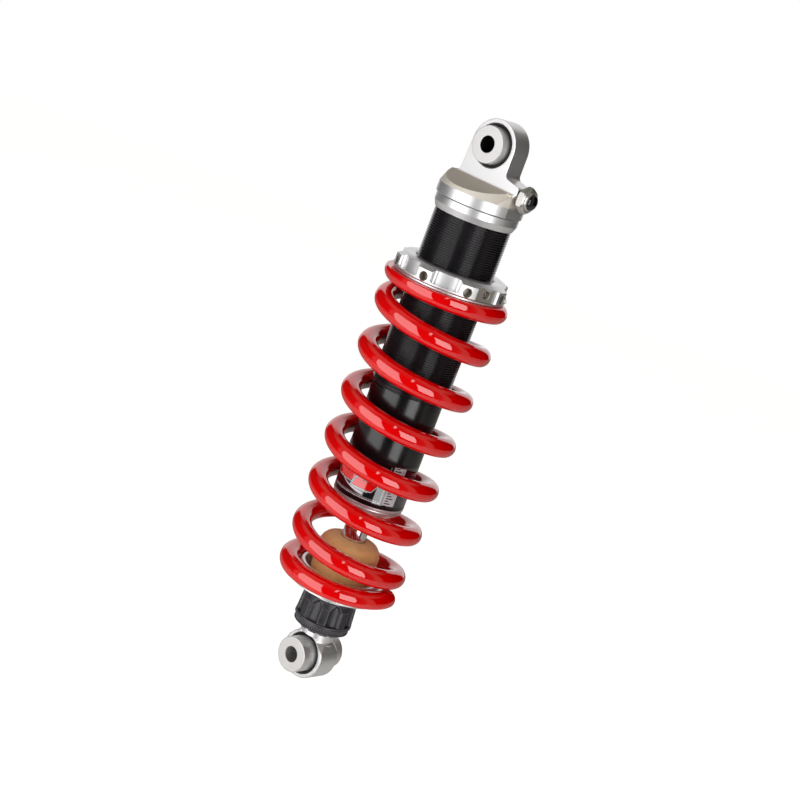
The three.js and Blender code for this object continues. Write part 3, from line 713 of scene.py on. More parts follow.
def make_valve():
    flats = 14.7
    corner = flats / 2 / math.cos(math.pi / 6)
    start, end = 1.2, 6.1
    nut = slab(hexagon(corner), start, end)
    crown = lathe([
        (0, start), (corner - 0.9, start, 0), (corner + 0.05, start + 0.6, 0), (corner + 0.05, end - 1.3, 0),
        (corner - 1.9, end, 0), (0, end),
    ], segments=96)
    combined(nut, [crown], "INTERSECT")
    shank = turned([(0, -7), (2.8, -7), (2.8, start + 0.5), (0, start + 0.5)], 48)
    collar_r = 5.9
    collar = lathe([
        (0, end - 1), (collar_r, end - 1, 0), (collar_r, end + 0.9, 0.4), (collar_r - 1, end + 1.3, 0.2),
        (0, end + 1.3),
    ], segments=96)
    combined(nut, [shank, collar], "UNION")
    edges_broken(nut, 0.15, degrees=28)
    along_x(nut, FOOT_X, VALVE_Z)
    piece(nut, "valve_hexagon", "damper_body", "steel", "gas_valve")
    tip = VALVE_TIP - FOOT_X
    base = end + 1.0
    dome_r = 5.1
    sweep = np.radians(np.linspace(0, 90, 13))
    dome = [(0, base - 0.6), (dome_r, base - 0.6)]
    dome += [(dome_r * math.cos(a), base + (tip - base) * math.sin(a)) for a in sweep]
    cap = along_x(turned([*dome[:-1], (0, tip)], 64), FOOT_X, VALVE_Z)
    piece(cap, "valve_cap", "damper_body", "cap", "gas_valve_cap", weighted=False)
    gasket = lathe([(3.2, 0.1), (5.3, 0.1), (5.3, 1.15), (3.2, 1.15)], 0.4, segments=64)
    along_x(gasket, FOOT_X, VALVE_Z)
    piece(gasket, "valve_gasket", "damper_body", "rubber", "gas_valve_seal")


def make_lock_ring():
    low, high = low_high("body_lock_ring")
    inner, outer, cone_top = THREAD_R + 0.12, 26.9, -42.1
    turned_piece("body_lock_collar", "damper_body", "turned", "body_lock_ring", [
        (inner, high.z), (outer, high.z, 0.35), (outer, cone_top, 0.4), (inner + 0.25, low.z, 0.15),
        (inner, low.z, 0),
    ], 0.1)


# ---------------------------------------------------------------- damper body
THREAD_PITCH = 1.5


def thread_radius(phase, crest, depth):
    """The radius of a 60 degree thread, at phase 0 to 1 through one pitch. Crests are rounded."""
    ramp = np.abs(np.mod(phase, 1.0) - 0.5) * 2
    return crest - depth * smoothstep((ramp - 0.12) / 0.76)


def make_tube():
    """The body: a real helical thread above, a smooth barrel below, and the bore."""
    per_turn, segments = 10, ROUND
    top, end = TUBE_HIGH.z, THREAD_END
    root = THREAD_R - 0.95
    turns = int((top - end) / THREAD_PITCH) + 2
    rows = turns * per_turn + 1
    row, column = np.meshgrid(np.arange(rows), np.arange(segments), indexing="ij")
    wraps = row / per_turn + column / segments - 1
    z = np.clip(end + THREAD_PITCH * wraps, end, top)
    radius = thread_radius(wraps, THREAD_R, THREAD_R - root)
    fade = smoothstep((z - end) / 2.2) * smoothstep((top - z) / 1.2)
    radius = root + (radius - root) * fade
    angle = 2 * math.pi * column / segments
    vertices = np.stack([radius * np.cos(angle), radius * np.sin(angle), z], axis=2).reshape(-1, 3)
    faces = []
    for i in range(rows - 1):
        for j in range(segments):
            across = i * segments + j + 1 if j + 1 < segments else (i + per_turn) * segments
            above = across + segments
            if above < rows * segments:
                faces.append((i * segments + j, across, above, (i + 1) * segments + j))
    bore = 21.0
    rest = rounded([
        (root, end, 0), (TUBE_R - 0.3, end - 0.6, 0.3), (TUBE_R, end - 1.6, 0.4), (TUBE_R, TUBE_LOW.z, 0.3),
        (bore, TUBE_LOW.z, 0.3), (bore, top, 0.3), (root, top, 0),
    ], closed=False)
    first = len(vertices)
    vertices = np.concatenate([vertices, turned_grid(rest, segments)])
    faces += grid_faces(len(rest), segments, first)
    tube = raw_mesh(vertices, faces)
    piece(tube, "threaded_body", "damper_body", "anodised", "body_tube", sharp=50, weighted=False)


def make_label():
    """A thin film, wrapped part of the way round the smooth barrel, with rounded corners."""
    left, right, corner, thick = -40.0, 34.0, 2.0, 0.09
    stops = ((left, left + corner, 9), (left + corner, right - corner, 121), (right - corner, right, 9))
    along = np.concatenate([[left], *(np.linspace(*stop)[1:] for stop in stops)])
    from_end = np.minimum(along - left, right - along)
    inset = corner - np.sqrt(np.clip(corner ** 2 - np.clip(corner - from_end, 0, corner) ** 2, 0, None))
    angle = math.radians(FACING) + along / TUBE_R
    sections = [np.column_stack([r * np.cos(angle), r * np.sin(angle), z]) for r, z in (
        (TUBE_R + thick, LABEL_LOW + inset), (TUBE_R + thick, LABEL_HIGH - inset),
        (TUBE_R - thick, LABEL_HIGH - inset), (TUBE_R - thick, LABEL_LOW + inset))]
    vertices = np.stack(sections, axis=1).reshape(-1, 3)
    count = len(along)
    faces = [*grid_faces(count, 4), (0, 1, 2, 3), tuple(4 * (count - 1) + k for k in range(4))]
    film = raw_mesh(vertices, faces)
    piece(film, "printed_label", "damper_body", "film", sharp=30, weighted=False)


def make_seal_head():
    r = TUBE_R
    flange = TUBE_LOW.z - 0.1
    low = SEAL_LOW.z
    body, pocket, bush = 20.7, 12, 9.8
    pocket_top, bush_low = -231, -227
    turned_piece("seal_head_body", "damper_body", "turned", "seal_head", [
        (bush, SEAL_HIGH.z), (body, SEAL_HIGH.z), (body, flange, 0), (r, flange, 0.25),
        (r, flange - 1.6, 0.3), (r - 0.7, flange - 1.9, 0.2), (r - 0.5, flange - 2.6, 0.3),
        (r - 0.4, low + 2.4, 1.6), (r - 3.6, low, 1.4), (pocket + 1.2, low, 0.4), (pocket, low + 1, 0.2),
        (pocket, pocket_top, 0),
        (ROD_R + 0.4, pocket_top, 0), (ROD_R + 0.4, bush_low, 0), (bush, bush_low, 0),
    ], 0.2)
    lip_r, rim_r, lip_z, rim_low, rim_top = 8.15, 11.8, -243.6, -241.4, -237.3
    turned_piece("rod_wiper", "damper_body", "rubber", "dust_wiper", [
        (lip_r + 0.1, rim_top), (rim_r, rim_top), (rim_r, rim_low), (rim_r - 1.6, rim_low - 0.4),
        (9.4, lip_z + 0.4), (lip_r, lip_z), (lip_r, lip_z + 1.4), (8.6, lip_z + 3),
    ], 0.25, segments=SMALL_ROUND)


# ---------------------------------------------------------------- spring
WIRE_R = 6.35
COIL_R = radius_of("main_spring") - WIRE_R
SPRING_PITCH = 31.12


def end_height(turns, flat_start, working_start):
    """Height of the wire's centre over its end face: almost flat at first, then at the working pitch."""
    low_pitch, knee = 4.0, 2.9
    flat = flat_start + low_pitch * turns
    working = working_start + SPRING_PITCH * turns
    return working + knee * np.log1p(np.exp((flat - working) / knee))


def spring_line(turn):
    """The wire's centreline, left-handed, against turns from the top coil's left-hand extreme."""
    last, working = 7.46, -11.2
    height = SPRING_HIGH.z - SPRING_LOW.z
    down = end_height(turn, 2.0, working)
    up = end_height(last - turn, 3.4, height - working - SPRING_PITCH * last)
    z = SPRING_HIGH.z - (down + (height - up) - (working + SPRING_PITCH * turn))
    angle = math.radians(FACING - 90) + 2 * math.pi * turn
    return np.stack([COIL_R * np.cos(angle), COIL_R * np.sin(angle), z], axis=-1)


def soft_limit(value, limit, softness):
    """value, held at or below limit, with a small rounding as it gets there."""
    return limit - softness * np.logaddexp(0, (limit - value) / softness)


def make_spring():
    first_tip, last_tip = -0.1, 7.46
    stations, sides = 620, 44
    turn = np.linspace(first_tip, last_tip, stations)
    centre = spring_line(turn)
    tangent = spring_line(turn + 1e-4) - spring_line(turn - 1e-4)
    tangent /= np.linalg.norm(tangent, axis=1)[:, None]
    outward = centre * [1, 1, 0]
    outward /= np.linalg.norm(outward, axis=1)[:, None]
    across = np.cross(tangent, outward)
    across /= np.linalg.norm(across, axis=1)[:, None]
    outward = np.cross(across, tangent)
    around = np.linspace(0, 2 * math.pi, sides, endpoint=False)
    tip_r = 0.9
    grown = [(0.0, 0.55), (0.25, 0.8), (0.55, 0.93), (1.0, 1.0)]
    rings = []
    for end, direction in ((0, 1), (-1, -1)):
        lead = [(tip_r * along, WIRE_R - tip_r * (1 - share) / 0.45) for along, share in grown]
        rings.append([(centre[end] + direction * tangent[end] * along, r, end) for along, r in lead])
    start, finish = rings[0], list(reversed(rings[1]))
    wire_length = 2 * math.pi * COIL_R * (last_tip - first_tip)
    body = [(centre[i], WIRE_R, i) for i in range(stations)
            if min(i, stations - 1 - i) * wire_length / stations > tip_r]
    sections = [*start, *body, *finish]
    vertices = np.concatenate([
        at + r * (np.cos(around)[:, None] * outward[i] + np.sin(around)[:, None] * across[i])
        for at, r, i in sections
    ])
    soft = 0.16
    vertices[:, 2] = soft_limit(vertices[:, 2], SPRING_HIGH.z, soft)
    vertices[:, 2] = -soft_limit(-vertices[:, 2], -SPRING_LOW.z, soft)
    faces = grid_faces(len(sections), sides)
    faces.append(tuple(reversed(range(sides))))
    faces.append(tuple(range((len(sections) - 1) * sides, len(sections) * sides)))
    spring = raw_mesh(vertices, faces)
    piece(spring, "coil_spring", "rod", "red", "main_spring", sharp=50)
    squash_to_stroke(spring)


def squash_to_stroke(obj):
    """Gives a piece its own copy of its mesh."""
    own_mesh(obj)


# ---------------------------------------------------------------- preload ring and seat
NOTCHES = 8
NOTCH_STEP = 360 / NOTCHES
FIRST_NOTCH = -57.0
SCREW_NOTCH = FIRST_NOTCH + NOTCH_STEP  # this notch is a flat, with the clamp screw's hole
NOTCH_HALF = math.radians(15)
NOTCH_BACK_R = 34.0
NOTCH_FLOOR = RING_LOW.z + 1.3
CONE_TOP_R = 32.1
CONE_FOOT = RING_HIGH.z - 2.6
PIN_HOLE_Z = RING_LOW.z + 3.5
SCREW_HOLE_Z = RING_LOW.z + 4.5
PIN_HOLE_R = 2.9
SCREW_HOLE_R = 2.6
SCREW_FLAT_X = 35.35


def notch_cutter():
    """A spanner notch on +X: side walls that point at the axis, and round back and lower corners."""
    corner_r = 3.0
    at = NOTCH_BACK_R + corner_r
    turn = NOTCH_HALF - math.asin(corner_r / at)
    x, y = at * math.cos(turn), at * math.sin(turn)
    mouth = RING_R + 4
    plan = [(mouth * math.cos(NOTCH_HALF), side * mouth * math.sin(NOTCH_HALF)) for side in (-1, 1)]
    plan += arc((x, y), corner_r, NOTCH_HALF + math.pi / 2, math.pi + turn, 8)
    plan += arc((0, 0), NOTCH_BACK_R, turn, -turn, 16)[1:-1]
    plan += arc((x, -y), corner_r, math.pi - turn, 1.5 * math.pi - NOTCH_HALF, 8)
    half, top = 10.2, RING_HIGH.z + 3
    front = [(-half, NOTCH_FLOOR, 2.6), (half, NOTCH_FLOOR, 2.6), (half + 0.5, top, 0), (-half - 0.5, top, 0)]
    cutter = slab(plan, NOTCH_FLOOR - 2, top - 1)
    window = across_x(slab(rounded(front, steps=7), NOTCH_BACK_R - 4, mouth + 2))
    return combined(cutter, [window], "INTERSECT")


def flat_cutter():
    """A flat across the rim on +X. It starts at a square step and runs out in a wide round corner."""
    step_y, step_r, run_y, run_r = -8.4, 0.4, 5.6, 7.0
    plan = arc((SCREW_FLAT_X + run_r, run_y), run_r, math.pi / 2, math.pi, 12)
    plan += arc((SCREW_FLAT_X + step_r, step_y + step_r), step_r, math.pi, 1.5 * math.pi, 4)
    plan.append((SCREW_FLAT_X + run_r, step_y))
    return slab(plan, RING_LOW.z - 2, RING_HIGH.z + 2)


def radial_hole(angle, r, z, depth, rim):
    """A hole drilled towards the axis, with a chamfered mouth where it meets the rim."""
    chamfer, above = 0.2, 1.1
    profile = [(0, rim - depth), (r, rim - depth), (r, rim - chamfer), (r + chamfer + above, rim + above),
               (0, rim + above)]
    return spun(along_x(turned(profile, 48), z=z), angle)


def mark_drilled_and_shaded(obj, holes):
    """Gives the walls and floors of radial holes a duller finish, as a drill leaves, and a darker colour that
    is painted shade.
    """
    obj.data.materials.append(LOOKS["drilled"][0])
    centres = np.array([polygon.center for polygon in obj.data.polygons]) / MM
    painted_shade_area = np.zeros(len(centres), bool)
    for angle, r, z in holes:
        x, y = math.cos(math.radians(angle)), math.sin(math.radians(angle))
        outward = centres[:, 0] * x + centres[:, 1] * y
        off = np.hypot(centres[:, 1] * x - centres[:, 0] * y, centres[:, 2] - z)
        painted_shade_area |= (off < r + 0.02) & (outward > 0) & (outward < RING_R - 0.3)
    obj.data.polygons.foreach_set("material_index", painted_shade_area.astype(int))


def make_preload_ring():
    bore = THREAD_R + 0.3
    low, high = RING_LOW.z, RING_HIGH.z
    ring = lathe([
        (bore, low, 0), (RING_R - 0.5, low, 0.3), (RING_R, low + 0.5, 0.2), (RING_R, CONE_FOOT, 0.3),
        (CONE_TOP_R, high, 0.5), (bore + 1.1, high, 0.25), (bore, high - 1.1, 0.2),
    ], 0.2, segments=192)
    cutters = []
    pattern = notch_cutter()
    for i in range(NOTCHES):
        angle = FIRST_NOTCH + i * NOTCH_STEP
        if angle == SCREW_NOTCH:
            cutters.append(spun(flat_cutter(), angle))
            cutters.append(radial_hole(angle, SCREW_HOLE_R, SCREW_HOLE_Z, RING_R - bore + 1, SCREW_FLAT_X))
        else:
            notch = bpy.data.objects.new("notch", pattern.data.copy())
            bpy.context.scene.collection.objects.link(notch)
            cutters.append(spun(notch, angle))
        cutters.append(radial_hole(angle + NOTCH_STEP / 2, PIN_HOLE_R, PIN_HOLE_Z, 6.5, RING_R))
    bpy.data.objects.remove(pattern)
    combined(ring, cutters, "DIFFERENCE")
    edges_broken(ring, 0.25, degrees=34)
    piece(ring, "preload_nut", "preload_ring", "turned", "preload_ring", sharp=30)
    pin_holes = [(FIRST_NOTCH + (i + 0.5) * NOTCH_STEP, PIN_HOLE_R, PIN_HOLE_Z) for i in range(NOTCHES)]
    mark_drilled_and_shaded(ring, [*pin_holes, (SCREW_NOTCH, SCREW_HOLE_R, SCREW_HOLE_Z)])
    screw_end = RING_R - 4.5
    screw = lathe([
        (0, bore + 0.4), (2.2, bore + 0.4), (2.35, screw_end - 0.4), (2.0, screw_end), (0, screw_end),
    ], 0.15, segments=48)
    combined(screw, [slab(hexagon(1.45), screw_end - 2.4, RING_R)], "DIFFERENCE")
    spun(along_x(screw, z=SCREW_HOLE_Z), SCREW_NOTCH)
    piece(screw, "grub_screw", "preload_ring", "steel", "clamp_screw")


def make_seat():
    bore = THREAD_R + 0.3
    guide_r, rim_r = 27.6, radius_of("spring_seat")
    turned_piece("upper_spring_seat", "seat", "turned", "spring_seat", [
        (bore, SEAT_HIGH.z, 0.2), (rim_r, SEAT_HIGH.z, 0.25), (rim_r, SPRING_HIGH.z + 0.15, 0.25),
        (guide_r, SPRING_HIGH.z + 0.15, 0.4),
        (guide_r, SEAT_LOW.z + 1.8, 0.6), (guide_r - 1.4, SEAT_LOW.z, 0.4), (bore, SEAT_LOW.z, 0.3),
    ])


# ---------------------------------------------------------------- rod, bump stop and perch
def make_rod():
    bore, foot_r, stud_r, chrome_low, chrome_high = 3, 7, 5, -303.4, -206
    turned_piece("chromed_rod", "rod", "chrome", "damper_rod", [
        (bore, ROD_LOW.z, 0), (foot_r, ROD_LOW.z, 0.4), (foot_r, chrome_low, 0), (ROD_R, chrome_low, 0.5),
        (ROD_R, chrome_high, 0.8), (stud_r, chrome_high, 0), (stud_r, ROD_HIGH.z, 0.4), (bore, ROD_HIGH.z, 0),
    ], segments=SMALL_ROUND)


def make_bump_stop():
    """A moulded foam collar with a crowned top, slightly uneven, with fine mould seams down its side."""
    low, high = BUMP_LOW.z, BUMP_HIGH.z
    r = radius_of("bump_stop")
    profile = rounded([
        (ROD_R + 0.15, low, 0.6), (18.2, low, 1.2), (19.6, low + 4, 3), (r - 0.1, high - 15, 6),
        (r, high - 8.2, 4), (r - 1.3, high - 4.4, 1.6), (17.4, high - 2.2, 2.2), (13, high - 0.5, 4),
        (ROD_R + 0.9, high, 0.5), (ROD_R + 0.15, high - 0.6, 0.3),
    ], steps=8)
    dense = []
    for (r0, z0), (r1, z1) in zip(profile, [*profile[1:], profile[0]]):
        count = max(1, int(math.hypot(r1 - r0, z1 - z0) / 0.9))
        dense += [(r0 + (r1 - r0) * k / count, z0 + (z1 - z0) * k / count) for k in range(count)]
    segments = 240
    vertices = turned_grid([*dense, dense[0]], segments)
    angle = np.arctan2(vertices[:, 1], vertices[:, 0])
    radius = np.hypot(vertices[:, 0], vertices[:, 1])
    side = smoothstep((radius - 12) / 6)
    height = vertices[:, 2]
    lumps = 0.10 * np.sin(3 * angle + height * 0.21) + 0.07 * np.sin(7 * angle - height * 0.35)
    seams = np.zeros(len(vertices))
    for seam in np.radians([FACING - 34, FACING - 3, FACING + 17, FACING + 52, FACING + 130, FACING + 200]):
        away = np.abs(np.angle(np.exp(1j * (angle - seam))))
        seams -= 0.16 * np.exp(-((away / 0.012) ** 2))
    grown = 1 + side * (lumps + seams) / np.maximum(radius, 1)
    vertices[:, 0] *= grown
    vertices[:, 1] *= grown
    foam = raw_mesh(vertices, grid_faces(len(dense) + 1, segments))
    piece(foam, "foam_bump_stop", "rod", "foam", "bump_stop", sharp=60, weighted=False)
    squash_to_stroke(foam)


def make_perch():
    low, high = PERCH_LOW.z, PERCH_HIGH.z
    r = radius_of("spring_perch")
    guide = 27.4
    spring_z = SPRING_LOW.z - 0.15
    step_r, hub_r, stem_r, rod_r = 31.5, 17, 11.3, ROD_R + 0.3
    floor, rim_low, under = -299.4, -299.1, -303.2
    perch = lathe([
        (rod_r, floor, 0), (guide - 2.8, floor, 0.8), (guide - 2.8, high, 0.4), (guide - 0.9, high, 0.4),
        (guide, high - 1.2, 0.4), (guide, spring_z, 0.6), (r, spring_z, 0.3), (r, rim_low, 0.35),
        (step_r, rim_low - 0.2, 0.25), (step_r, rim_low - 2.1, 0.4), (24, under + 0.6, 1.0),
        (18.2, under, 1.2), (hub_r, under - 2, 0.6), (hub_r, low, 0.45), (stem_r, low, 0.2),
        (stem_r, under, 0), (rod_r, under, 0),
    ], 0.3)
    slit = block((hub_r - 1.6, -0.24, low - 1), (hub_r + 1, 0.24, under - 0.7))
    combined(perch, [spun(slit, FACING - 0.5)], "DIFFERENCE")
    piece(perch, "lower_spring_perch", "rod", "turned", "spring_perch")


# ---------------------------------------------------------------- knob, detent ring and lower eye
def shaped_ring(name, body, node, levels, radius_at):
    """A plastic ring whose outer wall follows radius_at(angle, z). levels are runs of heights."""
    inner, segments = 11.3, 1152
    levels = sorted({*np.round(np.concatenate(levels), 4)}, reverse=True)
    angle = np.linspace(0, 2 * math.pi, segments, endpoint=False)
    walls = [(inner, levels[0]), *((radius_at(angle, z), z) for z in levels), (inner, levels[-1])]
    piece(turned(walls, segments), name, body, "plastic", node, sharp=28, weighted=False)


def from_nearest(angle, count):
    """Degrees to the nearest of count even directions. One of them faces the camera."""
    half = 180 / count
    return np.abs((np.degrees(angle) - FACING + half) % (2 * half) - half)


def make_knob():
    """Eight raised pads, each with a stepped top and foot, and a scooped flute between every two of them."""
    top, bottom = KNOB_HIGH.z, KNOB_LOW.z
    lobes = 8
    half_step = 180 / lobes
    pad_top, pad_foot, lip_top = top - 3.7, bottom + 2.5, bottom + 1.9
    r = radius_of("rebound_knob")

    def radius_at(angle, z):
        from_lobe = from_nearest(angle, lobes)
        heights, insets = [bottom, pad_foot, pad_top, top - 0.8, top], [1, 1, 1.75, 2.25, 2.9]
        shell = r - np.interp(z, heights, insets)
        arch = 13.4 * math.sqrt(max(0.0, min(1.0, (top - 0.5 - z) / 4.2)))
        across = (half_step - from_lobe) / max(arch, 0.1)
        flute = 2.2 * np.sqrt(np.clip(1 - across ** 2, 0, 1)) * min(1.0, arch / 9)
        pad_height = smoothstep((pad_top - z) / 0.3) * smoothstep((z - pad_foot) / 0.3)
        pad = smoothstep((8.3 - from_lobe) / 0.5) * pad_height
        above_lip = smoothstep((z - lip_top) / 0.3)
        edge = min(z - bottom, lip_top + 0.15 - z)
        lip = r - 0.4 * (1 - smoothstep(edge / 0.45))
        return above_lip * (shell + 0.75 * pad - flute) + (1 - above_lip) * lip

    levels = [np.linspace(bottom, bottom + 3, 31), np.linspace(bottom + 3, pad_top - 0.5, 20),
              np.linspace(pad_top - 0.5, pad_top + 0.1, 9), np.linspace(pad_top + 0.1, top, 24)]
    shaped_ring("rebound_adjuster_knob", "knob", "rebound_knob", levels, radius_at)


def make_detent_ring():
    """A ribbed flange under the knob, with a smaller notched foot."""
    top, bottom = DETENT_HIGH.z, DETENT_LOW.z
    r = radius_of("detent_ring")
    flange_z = top - 3.3
    notches, ribs = 12, 72

    def radius_at(angle, z):
        from_notch = from_nearest(angle, notches)
        rib_height = smoothstep((top - 0.7 - z) / 0.2) * smoothstep((z - flange_z - 0.6) / 0.2)
        rib = 0.24 * np.cos(np.radians(np.degrees(angle) - FACING) * ribs) * rib_height
        groove = 0.5 * smoothstep((z - (flange_z + 0.7)) / 0.4) - 0.3 * smoothstep((z - (top - 0.8)) / 0.3)
        skirt = r - 0.3 - groove
        taper = 1.5 * (flange_z - z) / (flange_z - bottom)
        foot = r - 2.2 - taper - 1.3 * smoothstep((5.5 - from_notch) / 0.7)
        share = smoothstep((z - (flange_z - 0.1)) / 0.2)
        return share * (skirt + rib) + (1 - share) * foot

    levels = [np.linspace(bottom, flange_z - 0.2, 8), np.linspace(flange_z - 0.2, flange_z + 1.2, 18),
              np.linspace(flange_z + 1.2, top - 1, 5), np.linspace(top - 1, top, 14)]
    shaped_ring("knob_detent_ring", "rod", "detent_ring", levels, radius_at)


NECK_R = 11.6
NECK_CONE_TOP = -337.6
NECK_MILL_TOP = -335.4
LOWER_HALF = 8.5


def make_lower_eye():
    """A round barrel on a turned neck. A cone under the neck cuts the barrel's upper edges."""
    z, half = LOWER_Z, LOWER_HALF
    cone_r, cone_foot, stem_r, rim = 19.0, -345.0, 11, 1.0
    neck = DETENT_LOW.z - 0.2
    stem_top = LOWER_HIGH.z
    blank = lathe([
        (0, z - 18), (cone_r, z - 18, 0), (cone_r, cone_foot, 0), (NECK_R, NECK_CONE_TOP, 2.2),
        (NECK_R, neck, 0.3), (stem_r, neck, 0), (stem_r, stem_top, 0.4), (0, stem_top),
    ], steps=8)
    barrel = along_y(lathe([(0, -half), (EYE_R, -half, rim), (EYE_R, half, rim), (0, half)], steps=6), z)
    stem = turned([(0, z + 5), (NECK_R + 1, z + 5), (NECK_R + 1, stem_top + 1), (0, stem_top + 1)])
    mills = [block((-30, y, z - 30), (30, y + 30, NECK_MILL_TOP)) for y in (half, -half - 30)]
    combined(stem, mills, "DIFFERENCE")
    combined(barrel, [stem], "UNION")
    combined(blank, [barrel], "INTERSECT")
    combined(blank, [eye_bore(half, z)], "DIFFERENCE")
    edges_broken(blank, 0.3, degrees=32)
    slot_low, slot_high, needle_low, rod_foot = -324.5, -315.6, -326, -314.3
    needle_r, socket_r = 3.1, 7.2
    pin_slot = block((-12, -1.9, slot_low), (12, 1.9, slot_high))
    core = turned([(0, needle_low), (needle_r, needle_low), (needle_r, rod_foot), (socket_r, rod_foot),
                   (socket_r, stem_top + 1), (0, stem_top + 1)], 64)
    combined(blank, [pin_slot, core], "DIFFERENCE")
    piece(blank, "lower_eye_body", "rod", "milled", "lower_eye", sharp=26)


# ---------------------------------------------------------------- spacers and seals in both eyes
def make_eye_fittings(where, z, half, body, sleeve, look):
    for face in ("front", "rear"):
        node = f"{where}_spacer_{face}"
        low, high = low_high(node)
        out = max(abs(low.y), abs(high.y))
        r = (high.x - low.x) / 2
        neck_r, flange, seal_r = 7.1, 4.85, 13.45
        spacer = lathe([
            (BOLT_R, 0.12, 0), (neck_r, 0.12, 0), (neck_r, flange, 0), (r, flange, 0.3), (r, out, 0.55),
            (BOLT_R, out, 0.45),
        ], steps=5, segments=SMALL_ROUND)
        seal = lathe([
            (r + 0.1, 5.0), (seal_r, 5.0), (seal_r, half - 0.55), (seal_r - 0.55, half - 0.2),
            (r + 0.1, half - 0.75),
        ], 0.3, segments=SMALL_ROUND)
        for obj in (spacer, seal):
            along_y(obj, z)
            if face == "front":
                mirrored(obj)
        piece(spacer, f"{where}_{face}_spacer", sleeve, look, node)
        piece(seal, f"{where}_{face}_seal", body, "rubber", f"{where}_seal_{face}")


# ---------------------------------------------------------------- hidden pieces keep their CAD shape
HIDDEN = {
    "steel": ["compression_shims", "rebound_shims", "piston_nut", "metering_needle", "adjuster_pin",
              "top_bearing_race", "top_bearing_ball", "lower_bearing_race", "lower_bearing_ball"],
    "turned": ["floating_piston", "damper_piston"],
    "rubber": ["seal_head_oring", "rod_seal", "floating_piston_seal", "top_out_bumper"],
    "bronze": ["rod_bushing", "piston_band"],
}


def finish_hidden():
    for look, nodes in HIDDEN.items():
        for node in nodes:
            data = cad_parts[node].data
            data.materials.clear()
            data.materials.append(LOOKS[look][0])


for make in (make_head, make_valve, make_lock_ring, make_tube, make_label, make_seal_head, make_spring,
             make_preload_ring, make_seat, make_rod, make_bump_stop, make_perch, make_knob, make_detent_ring,
             make_lower_eye):
    make()
make_eye_fittings("top", 0.0, LUG_HALF, "damper_body", "top_sleeve", "spacer_top")
make_eye_fittings("lower", LOWER_Z, LOWER_HALF, "rod", "lower_sleeve", "spacer_low")
finish_hidden()


# ---------------------------------------------------------------- camera
def direction(azimuth, elevation):
    """The unit vector from the object towards a viewer at that azimuth and elevation, in degrees."""
    a, e = math.radians(azimuth), math.radians(elevation)
    return Vector((math.sin(a) * math.cos(e), -math.cos(a) * math.cos(e), math.sin(e)))


def make_camera():
    distance, elevation, lean = 1.101, 13.75, math.radians(20.64)
    target = Vector((0, 0, -0.1699))
    back = direction(CAMERA_AZIMUTH, elevation)
    level = Vector((math.cos(math.radians(CAMERA_AZIMUTH)), math.sin(math.radians(CAMERA_AZIMUTH)), 0))
    rise = back.cross(level)
    right = level * math.cos(lean) + rise * math.sin(lean)
    up = rise * math.cos(lean) - level * math.sin(lean)
    camera = bpy.data.objects.new("camera", bpy.data.cameras.new("camera"))
    bpy.context.scene.collection.objects.link(camera)
    turn = Matrix((right, up, back)).transposed().to_4x4()
    camera.matrix_world = Matrix.Translation(target + back * distance) @ turn
    camera.data.lens = 78.6
    camera.data.sensor_width = 36
    camera.data.shift_x, camera.data.shift_y = -0.005625, 0.002125
    camera.data.clip_start = 0.01
    bpy.context.scene.camera = camera


# ---------------------------------------------------------------- floor and light
MIDDLE = Vector((0, 0, -0.175))


def softbox(name, azimuth, elevation, size, brightness, lean=0.0, distance=1.6):
    """A rectangular lamp that faces the middle of the shock. Azimuth is from the camera, to the right."""
    light = bpy.data.lights.new(name, "AREA")
    light.shape = "RECTANGLE"
    light.size, light.size_y = size
    light.energy = brightness * math.pi * size[0] * size[1]
    obj = bpy.data.objects.new(name, light)
    bpy.context.scene.collection.objects.link(obj)
    toward = direction(CAMERA_AZIMUTH + azimuth, elevation)
    turn = toward.to_track_quat("Z", "Y").to_matrix() @ Matrix.Rotation(math.radians(lean), 3, "Z")
    obj.matrix_world = Matrix.Translation(MIDDLE + toward * distance) @ turn.to_4x4()
    obj.visible_camera = False


def ramp(look, value, stops):
    """A brightness that runs from stop to stop. A stop is a place from 0 to 1 and a colour or a grey."""
    made = look.node("ValToRGB")
    elements = made.color_ramp.elements
    while len(elements) < len(stops):
        elements.new(0.5)
    for element, (place, tone) in zip(elements, stops):
        element.position = place
        element.color = [*tone, 1.0] if isinstance(tone, tuple) else [tone, tone, tone, 1.0]
    look.feed(made.inputs["Fac"], value)
    return made.outputs["Color"]


class Surroundings(Look):
    """The world's own light: a white sweep behind, dark flags at both sides and in front, a pale ceiling."""

    def __init__(self):
        world = bpy.data.worlds.new("studio")
        world.use_nodes = True
        bpy.context.scene.world = world
        self.tree = world.node_tree
        self.shader = self.tree.nodes["Background"]
        aligned = self.node("Mapping", {"Rotation": (0, 0, -math.radians(CAMERA_AZIMUTH))})
        self.feed(aligned.inputs["Vector"], self.node("TexCoord").outputs["Generated"])
        x, y, z = self.node("SeparateXYZ", {0: aligned.outputs[0]}).outputs
        azimuth = self.math("ARCTAN2", x, self.both(y, -1.0))
        self.azimuth = self.math("MULTIPLY_ADD", azimuth, 1 / (2 * math.pi), 0.5)
        self.elevation = self.math("MULTIPLY_ADD", self.math("ARCSINE", z), 1 / math.pi, 0.5)

    def around(self, *stops):
        """Light by azimuth in degrees from the camera."""
        return ramp(self, self.azimuth, [((a + 180) / 360, tone) for a, tone in stops])

    def band(self, *stops):
        """A share by elevation in degrees."""
        return ramp(self, self.elevation, [((e + 90) / 180, share) for e, share in stops])


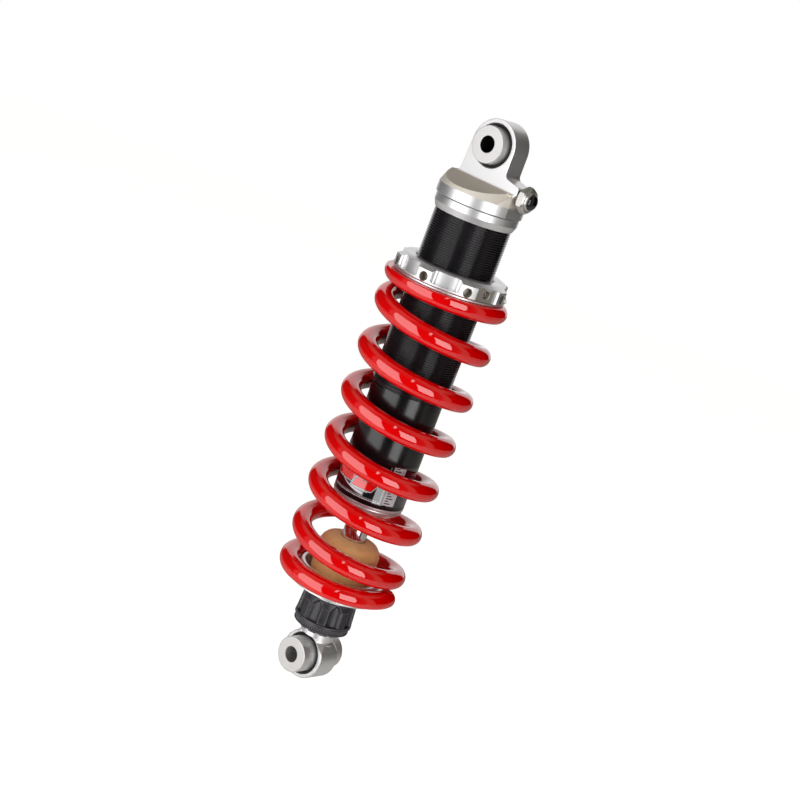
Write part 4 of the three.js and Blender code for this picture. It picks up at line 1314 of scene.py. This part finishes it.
def make_world():
    sky = Surroundings()
    beige = (0.31, 0.285, 0.235)
    dim = (0.1, 0.09, 0.075)
    level = sky.around(
        (-180, 1.0), (-154, 1.0), (-148, 0.02), (-86, 0.02), (-82, 0.25), (-74, 0.25), (-70, 0.06),
        (-18, 0.02), (44, 0.02), (64, 0.09), (67, beige), (82, beige), (86, 0.0), (150, 0.0), (154, 1.0),
        (180, 1.0),
    )
    ceiling = sky.around(
        (-180, 0.02), (-158, 0.02), (-132, beige), (-60, beige), (-36, dim), (36, dim), (66, beige),
        (126, beige), (158, 0.02), (180, 0.02),
    )
    overhead = (0.3, 0.275, 0.225, 1.0)
    floor = sky.around(
        (-180, 0.6), (-140, 0.6), (-90, 0.3), (-40, 0.04), (40, 0.04), (90, 0.3), (140, 0.6), (180, 0.6),
    )
    tone = sky.mix(sky.band((-48, 1.0), (-43, 0.0)), level, floor)
    tone = sky.mix(sky.band((34, 0.0), (46, 1.0)), tone, ceiling)
    tone = sky.mix(sky.band((68, 0.0), (86, 1.0)), tone, overhead)
    seen = sky.node("LightPath").outputs["Is Camera Ray"]
    sky.feed(sky.shader.inputs["Color"], sky.mix(seen, tone, (1.0, 1.0, 1.0, 1.0)))


def make_floor():
    """A pale sheet that lies under the shock and runs far back behind it."""
    low, high = -720, -700
    floor = slab([(-2600, -480), (2600, -480), (2600, 4000), (-2600, 4000)], low, high)
    spun(floor, CAMERA_AZIMUTH)
    floor.name = "floor"
    paper = Look("floor_paper", Roughness=0.9, Emission_Color=(1, 1, 1, 1))
    seen = paper.node("LightPath").outputs["Is Camera Ray"]
    paper.feed(paper.shader.inputs["Emission Strength"], paper.both(seen, 0.8))
    paper.colour(paper.blend(paper.noise(4), (252, 252, 252), (250, 250, 250)))
    floor.data.materials.append(paper.material)


def make_lamps():
    softbox("left_softbox", -45.5, 0, (1.5, 2.85), 2.1, lean=2)
    softbox("right_softbox", 29.5, 1, (0.88, 1.62), 3.0)
    softbox("strip_lamp", 9, 40, (0.11, 0.86), 2.6, lean=-15)


make_camera()
make_world()
make_floor()
make_lamps()
bpy.context.scene.view_settings.view_transform = "Standard"
